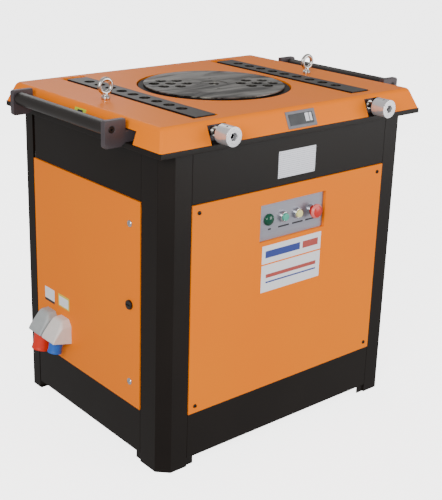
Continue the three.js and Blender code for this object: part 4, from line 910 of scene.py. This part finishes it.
stop = turned(
    [(0, -0.034), (0.006, -0.034), (0.006, 0.009), (0.01, 0.009), (0.01, 0.0165), (0.016, 0.0165),
     (0.0182, 0.0175), (0.019, 0.0195), (0.0188, 0.022), (0.0174, 0.0252),
     (0.0145, 0.0278), (0.0095, 0.0294), (0, 0.03)],
    stop_place, outwards, 72,
)
stand_for(stop, "stop_button", red_cap)
# A paler red shell round the mushroom's shoulder: a painted highlight on the red cap.
stop_rim = turned(
    [(0.0148, 0.0278), (0.0176, 0.0255), (0.0191, 0.0222), (0.0193, 0.0222), (0.018, 0.026),
     (0.0149, 0.0285), (0.0148, 0.0278)],
    stop_place, outwards, 72,
)
finish_piece(stop_rim, "stop_button_rim", painted_highlight_red, "stop_button", 60)
stop_bezel = turned(
    [
        (0.0108, 0.0002), (0.0145, 0.0002), (0.0145, 0.002), (0.0132, 0.0085), (0.0108, 0.0085),
        (0.0108, 0.0002),
    ],
    stop_place, outwards, 64,
)
soften(stop_bezel, 0.0005, 2, 50)
finish_piece(stop_bezel, "stop_button_bezel", chrome, "machine", 60)

# Printed ink: flat and nearly black.
MARK_WIDTHS = (0.010, 0.038, 0.038, 0.042)
MARK_HALF_HEIGHT = 0.0021
MARK_SHIFT = (0.004, -0.0265)
dark_ink = moulded_plastic("dark_printed_strip", "#1C1A20", "#26242B", 0.5)
for index, (spot, width) in enumerate(zip(operator_places, MARK_WIDTHS)):
    centre_x = spot.x + MARK_SHIFT[0]
    mark_z = spot.z + MARK_SHIFT[1]
    mark = slab(
        (centre_x - width / 2, plate_low.y - 0.0004, mark_z - MARK_HALF_HEIGHT),
        (centre_x + width / 2, plate_low.y - 0.00005, mark_z + MARK_HALF_HEIGHT),
    )
    finish_piece(mark, f"control_mark_{index + 1}", dark_ink, "machine")

# ---- counter display ----
# A counter with a grey bezel sits in the front skirt. Its recess holds a dark glass: a wide screen on the
# left, blank while the machine is off, and two pale number wheels behind a window on the right.

display_grey = moulded_plastic("grey_display_bezel", "#6E6C72", "#807E85", 0.4)
bezel = cad_copy("counter_display")
soften(bezel, 0.0008, 2, 40)
stand_for(bezel, "counter_display", display_grey)

SMOKE_PATCH = 1 / 26
SCREEN_HALF = (0.041, 0.014)
WHEEL_SPAN = (-0.0085, 0.0125)
SKIRT_RUN = 0.0245
SKIRT_DROP = 0.0533
RECESS_FLOOR = 0.00305  # from the middle of the piece out to the floor of its recess
# Smoked glass: dark and smooth, a little lighter in patches.
dark_glass, tree, place = start_material("dark_display_glass")
smoke = add_node(tree, "ShaderNodeTexNoise", {"Vector": place, "Scale": 1 / SMOKE_PATCH, "Detail": 2})
shade = add_node(
    tree, "ShaderNodeMix",
    {"Factor": smoke.outputs["Fac"], 6: linear("#1E1F22"), 7: linear("#55575A")}, data_type="RGBA",
)
end_material(tree, Base_Color=shade.outputs[2], Roughness=0.18, Specular_IOR_Level=0.3)
wheel_white = moulded_plastic("white_counter_wheels", "#D9DBE4", "#F2F2F6", 0.3)

display_low, display_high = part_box("counter_display")
display_middle = (display_low + display_high) / 2
lean = Matrix.Rotation(-math.atan2(SKIRT_RUN, SKIRT_DROP), 4, "X")


def in_display(low, high):
    """A slab in the skirt's frame: x across, y inwards from the recess floor, z up the skirt."""
    made = slab(low, high)
    place_in = Matrix.Translation(display_middle) @ lean @ Matrix.Translation((0, -RECESS_FLOOR, 0))
    bmesh.ops.transform(made, matrix=place_in, verts=made.verts)
    return made


screen = in_display(
    (-SCREEN_HALF[0], -0.0006, -SCREEN_HALF[1]), (SCREEN_HALF[0], -0.0001, SCREEN_HALF[1])
)
finish_piece(screen, "counter_screen", dark_glass, "machine")
wheels = gather([
    in_display((start, -0.0011, WHEEL_SPAN[0]), (start + wide, -0.0001, WHEEL_SPAN[1]))
    for start, wide in ((0.0140, 0.0120), (0.0290, 0.0075))
])
finish_piece(wheels, "counter_wheels", wheel_white, "machine")

# ---- door lock, catches and screws ----
# A black cam lock with a key slot holds the door, with a domed catch above and below it. The fixed
# panels are held by low black screws with a hexagon socket.

LOCK_RADIUS = 0.0125
KEY_SLOT = (0.016, 0.0028)
CAM_BACK = 0.016
CAM_WIDTH = 0.016
CAM_THICKNESS = 0.004
CATCH_SPREAD = 0.212
# Glossy black nylon.
black_plastic = moulded_plastic("black_nylon_lock", "#0F0E0E", "#1B1A1A", 0.3)
lock_low, lock_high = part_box("door_lock")
door_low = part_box("left_door")[0]
lock_spot = Vector((door_low.x, (lock_low.y + lock_high.y) / 2, lock_low.z + LOCK_RADIUS))
left = (-1, 0, 0)
lock = turned(
    [(0, -0.024), (0.007, -0.024), (0.007, 0.0003), (LOCK_RADIUS, 0.0003), (LOCK_RADIUS, 0.004),
     (LOCK_RADIUS - 0.001, 0.006), (0, 0.006)],
    lock_spot, left, 48,
)
slot_cut = slab(
    lock_spot + Vector((-0.009, -KEY_SLOT[0] / 2, -KEY_SLOT[1] / 2)),
    lock_spot + Vector((-0.003, KEY_SLOT[0] / 2, KEY_SLOT[1] / 2)),
)
lock = combine(lock, slot_cut, "DIFFERENCE")
cam_x = door_low.x + CAM_BACK
cam = slab(
    (cam_x, lock_spot.y - CAM_WIDTH / 2, lock_spot.z - CAM_WIDTH / 2),
    (cam_x + CAM_THICKNESS, lock_spot.y + CAM_WIDTH / 2, lock_high.z),
)
lock = combine(lock, cam, "UNION")
soften(lock, 0.0005, 2, 40)
stand_for(lock, "door_lock", black_plastic)

for name, height in (("upper", CATCH_SPREAD), ("lower", -CATCH_SPREAD)):
    catch_spot = lock_spot + Vector((0, 0, height))
    catch = turned(
        [(0, -0.012), (0.0038, -0.012), (0.0038, 0.0002), (0.0092, 0.0002), (0.0092, 0.0014),
         (0.0075, 0.0036), (0.004, 0.0048), (0, 0.0052)],
        catch_spot, left, 48,
    )
    catch_slot = slab(
        catch_spot + Vector((-0.008, -0.0008, -0.006)), catch_spot + Vector((-0.0032, 0.0008, 0.006))
    )
    catch = combine(catch, catch_slot, "DIFFERENCE")
    finish_piece(catch, f"door_catch_{name}", chrome, "door", 45)


def screws(name, spots, out, body):
    """Low socket-head screws, one for each spot, facing out."""
    heads = []
    for spot in spots:
        head = turned(
            [(0, -0.005), (0.0028, -0.005), (0.0028, 0.0001), (0.0052, 0.0001), (0.0052, 0.001),
             (0.0043, 0.0024), (0.0026, 0.0029), (0, 0.0029)],
            spot, out, 32,
        )
        heads.append(combine(head, rod(0.0019, 0.0012, 0.004, spot, out, 6), "DIFFERENCE"))
    finish_piece(gather(heads), name, blackened, body, 45)


SCREW_INSET = 0.020
for node, axis_index, out in (
    ("front_panel", 0, (0, -1, 0)), ("rear_panel", 0, (0, 1, 0)), ("right_panel", 1, (1, 0, 0)),
):
    low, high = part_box(node)
    face = {"front_panel": low.y, "rear_panel": high.y, "right_panel": high.x}[node]
    spots = []
    for across in (low[axis_index] + SCREW_INSET, high[axis_index] - SCREW_INSET):
        for height in (low.z + SCREW_INSET, high.z - SCREW_INSET):
            spots.append((across, face, height) if axis_index == 0 else (face, across, height))
    screws(node + "_screws", spots, out, "machine")

# ---- appliance inlets ----
# Two moulded inlets for power and pedal hang on the door. A rounded hood carries a tilted collar with
# brass contact pins: grey and red for power, white and blue for the pedal.

COLLAR_WALL = 0.003
CONTACT_RADIUS = 0.0026
CONTACT_SPREAD = 0.48
TARNISH_PATCH = 1 / 200
# The hoods are satin ABS, the collars glossier, and the contacts tarnished brass.
light_grey = moulded_plastic("light_grey_inlet_plastic", "#A4AAAB", "#B6BBBB", 0.4)
white_plastic = moulded_plastic("white_inlet_plastic", "#E4DCD6", "#F0E9E4", 0.4)
red_plastic = moulded_plastic("red_collar_plastic", "#D8240F", "#E63418", 0.38)
blue_plastic = moulded_plastic("blue_collar_plastic", "#1B57B4", "#2A6CCB", 0.38)
brass, tree, place = start_material("brass_contacts")
tarnish = add_node(
    tree, "ShaderNodeTexNoise", {"Vector": place, "Scale": 1 / TARNISH_PATCH, "Detail": 3}
)
shade = add_node(
    tree, "ShaderNodeMix",
    {"Factor": tarnish.outputs["Fac"], 6: linear("#B08A3C"), 7: linear("#D6B060")}, data_type="RGBA",
)
end_material(tree, Base_Color=shade.outputs[2], Metallic=1.0, Roughness=0.3)

INLET_TILT = math.atan2(0.013, 0.058)
for name, collar_radius, collar_length, pins, hood_finish, collar_finish in (
    ("power", 0.025, 0.048, 5, light_grey, red_plastic),
    ("pedal", 0.020, 0.033, 3, white_plastic, blue_plastic),
):
    hood = cad_copy(f"{name}_inlet_housing")
    hood_low, hood_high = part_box(f"{name}_inlet_housing")
    soften(hood, 0.0045, 4, 12, lambda edge: all(v.co.x > hood_high.x - 0.0005 for v in edge.verts))
    stand_for(hood, f"{name}_inlet_housing", hood_finish)

    down = Vector((-math.sin(INLET_TILT), 0, -math.cos(INLET_TILT)))
    root = Vector((hood_high.x - 0.029, (hood_low.y + hood_high.y) / 2, hood_low.z + 0.0065)) + 0.0003 * down
    collar = turned(
        [(0, 0), (collar_radius, 0), (collar_radius, 0.008), (collar_radius - 0.001, 0.009),
         (collar_radius - 0.001, collar_length - 0.006), (collar_radius, collar_length - 0.005),
         (collar_radius, collar_length), (collar_radius - COLLAR_WALL, collar_length),
         (collar_radius - COLLAR_WALL, 0.006), (0, 0.006)],
        root, down, 72,
    )
    soften(collar, 0.0006, 2, 40)
    stand_for(collar, f"{name}_inlet_collar", collar_finish)
    contacts = []
    for i in range(pins):
        turn = 2 * math.pi * i / pins
        spread = collar_radius * CONTACT_SPREAD
        tilted = Vector((math.cos(INLET_TILT), 0, -math.sin(INLET_TILT)))
        aside = tilted * math.sin(turn) + Vector((0, 1, 0)) * math.cos(turn)
        contact = turned(
            [(0, 0.0061), (CONTACT_RADIUS, 0.0061), (CONTACT_RADIUS, collar_length - 0.0095),
             (CONTACT_RADIUS - 0.0011, collar_length - 0.008), (0, collar_length - 0.008)],
            root + spread * aside, down, 24,
        )
        contacts.append(contact)
    finish_piece(gather(contacts), f"{name}_inlet_contacts", brass, "door", 45)

# ---- plates and labels ----
# Thin printed or etched plates: a blank data plate with ruled rows, two plain front labels, two on the
# door and a small one on the side skirt. None carries writing.

FLECK_SIZE = 1 / 420
PLATE_X = (-0.060, 0.070)
PLATE_Z = (0.722, 0.7915)
RIVET_INSET = 0.0045
# Etched aluminium: a pale plate with rows of small dark flecks where writing would stand.
silver_plate, tree, place = start_material("etched_silver_plate")
rows = add_node(
    tree, "ShaderNodeTexWave", {"Vector": place, "Scale": 60, "Distortion": 0},
    wave_type="BANDS", bands_direction="Z",
)
fleck = add_node(tree, "ShaderNodeTexNoise", {"Vector": place, "Scale": 1 / FLECK_SIZE, "Detail": 2})
printed = add_node(
    tree, "ShaderNodeMath", {0: rows.outputs["Fac"], 1: fleck.outputs["Fac"]}, operation="MULTIPLY"
)
ink = add_node(
    tree, "ShaderNodeMapRange", {"Value": printed.outputs["Value"], "From Min": 0.25, "From Max": 0.6}
)
shade = add_node(
    tree, "ShaderNodeMix",
    {"Factor": ink.outputs["Result"], 6: linear("#F2F3FA"), 7: linear("#B4B6C6")}, data_type="RGBA",
)
end_material(tree, Base_Color=shade.outputs[2], Metallic=0.3, Roughness=0.4)

band_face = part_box("top_band_front")[0].y
rating = slab((PLATE_X[0], band_face - 0.0008, PLATE_Z[0]), (PLATE_X[1], band_face - 0.0001, PLATE_Z[1]))
soften(rating, 0.0003, 1)
finish_piece(rating, "data_plate", silver_plate, "machine")
rivet_outline = [(0, 0), (0.002, 0), (0.0018, 0.0007), (0.001, 0.0012), (0, 0.0014)]
rivets = gather([
    turned(rivet_outline, (x, band_face - 0.0008, z), outwards, 24)
    for x in (PLATE_X[0] + RIVET_INSET, PLATE_X[1] - RIVET_INSET)
    for z in (PLATE_Z[0] + RIVET_INSET, PLATE_Z[1] - RIVET_INSET)
])
finish_piece(rivets, "data_plate_rivets", chrome, "machine", 60)

# The films are printed vinyl, smooth and flat.
panel_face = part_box("front_panel")[0].y
door_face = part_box("left_door")[0].x
white_film = moulded_plastic("white_label_film", "#EEF0F6", "#F6F7FA", 0.35)
blue_film = moulded_plastic("blue_label_ink", "#2A3A86", "#33459A", 0.4)
red_film = moulded_plastic("red_label_ink", "#B0453E", "#BC5048", 0.4)
yellow_film = moulded_plastic("yellow_label_film", "#DCC63A", "#E8D552", 0.4)
green_film = moulded_plastic("yellow_green_label_film", "#BFD22E", "#D3E63E", 0.4)


def front_film(name, low, high, finish, lift=0.0003):
    """A film on the front panel, between two (x, z) corners."""
    made = slab((low[0], panel_face - lift, low[1]), (high[0], panel_face - lift + 0.0002, high[1]))
    finish_piece(made, name, finish, "machine")


front_film("upper_label", (-0.104, 0.502), (0.107, 0.551), white_film)
front_film("upper_label_blue_bar", (-0.092, 0.517), (0.030, 0.536), blue_film, 0.0005)
front_film("upper_label_red_bar", (0.040, 0.517), (0.096, 0.536), red_film, 0.0005)
front_film("lower_label", (-0.104, 0.424), (0.107, 0.498), white_film)
front_film("lower_label_red_bar", (-0.088, 0.462), (0.092, 0.472), red_film, 0.0005)
front_film("lower_label_blue_bar", (-0.088, 0.448), (0.092, 0.452), blue_film, 0.0005)


def door_film(name, low, high, finish, lift=0.0003):
    """A film on the door, between two (y, z) corners."""
    made = slab((door_face - lift, low[0], low[1]), (door_face - lift + 0.0002, high[0], high[1]))
    finish_piece(made, name, finish, "door")


forward_shift = table_axis.y
door_film("door_label_rear", (0.166 + forward_shift, 0.299), (0.216 + forward_shift, 0.340), white_film)
door_film(
    "door_label_rear_band", (0.166 + forward_shift, 0.299), (0.216 + forward_shift, 0.306), dark_ink,
    0.0005,
)
door_film(
    "door_label_front", (0.090 + forward_shift, 0.304), (0.146 + forward_shift, 0.341), yellow_film
)
door_film(
    "door_label_front_field", (0.095 + forward_shift, 0.308), (0.141 + forward_shift, 0.335),
    white_film, 0.0005,
)

# A yellow-green label lies on the leaning left skirt, above the roller.
SKIRT_SINE = 0.336
SKIRT_COSINE = 0.942
LABEL_HEIGHT = 0.035
table_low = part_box("table_plate")[0]
skirt_out = Vector((-SKIRT_COSINE, 0, SKIRT_SINE))
skirt_up = Vector((SKIRT_SINE, 0, SKIRT_COSINE))
skirt_place = Vector((table_low.x, forward_shift - 0.0035, table_low.z)) + LABEL_HEIGHT * skirt_up
skirt_turn = Matrix((-skirt_out, Vector((0, 1, 0)), skirt_up)).transposed().to_4x4()
for name, half_long, half_high, lift, finish in (
    ("skirt_label", 0.0255, 0.0080, 0.0003, green_film),
    ("skirt_label_field", 0.0120, 0.0040, 0.0005, dark_ink),
):
    made = slab((-lift, -half_long, -half_high), (0.0002 - lift, half_long, half_high))
    bmesh.ops.transform(made, matrix=Matrix.Translation(skirt_place) @ skirt_turn, verts=made.verts)
    finish_piece(made, name, finish, "machine")

# ---- drive ----
# Under the table hang the gears in their cast case, the bearings of the main shaft, a reducer and a
# finned motor. They show only with the door open or from below.

CASTING_LUMP = 1 / 260
ENAMEL_LUMP = 1 / 200
# Grey paint over a rough casting.
cast_paint, tree, place = start_material("painted_casting")
lumps = add_node(tree, "ShaderNodeTexNoise", {"Vector": place, "Scale": 1 / CASTING_LUMP, "Detail": 4})
shade = add_node(
    tree, "ShaderNodeMix",
    {"Factor": lumps.outputs["Fac"], 6: linear("#4A524F"), 7: linear("#606966")}, data_type="RGBA",
)
relief = add_node(
    tree, "ShaderNodeBump", {"Height": lumps.outputs["Fac"], "Strength": 0.3, "Distance": 0.0006}
)
end_material(tree, Base_Color=shade.outputs[2], Roughness=0.55, Normal=relief.outputs["Normal"])

# Blue enamel, glossier and smoother than the casting's paint.
motor_paint, tree, place = start_material("blue_motor_enamel")
lumps = add_node(tree, "ShaderNodeTexNoise", {"Vector": place, "Scale": 1 / ENAMEL_LUMP, "Detail": 3})
shade = add_node(
    tree, "ShaderNodeMix",
    {"Factor": lumps.outputs["Fac"], 6: linear("#2F4C6B"), 7: linear("#3E5F82")}, data_type="RGBA",
)
relief = add_node(
    tree, "ShaderNodeBump", {"Height": lumps.outputs["Fac"], "Strength": 0.2, "Distance": 0.0005}
)
end_material(tree, Base_Color=shade.outputs[2], Roughness=0.38, Normal=relief.outputs["Normal"])

for node, finish, bend in (
    ("gear_case", cast_paint, 0.002), ("reducer_housing", cast_paint, 0.004),
    ("motor", motor_paint, 0.0012), ("main_bearing_upper", plated_steel, 0.0008),
    ("main_bearing_lower", plated_steel, 0.0008), ("main_shaft", plated_steel, 0.0008),
    ("main_gear", oiled_steel, 0.0006), ("drive_pinion", oiled_steel, 0.0005),
    ("door_pivot_lower", plated_steel, 0.0004), ("door_pivot_upper", plated_steel, 0.0004),
):
    made = cad_copy(node)
    soften(made, bend, 1, 40)
    stand_for(made, node, finish)
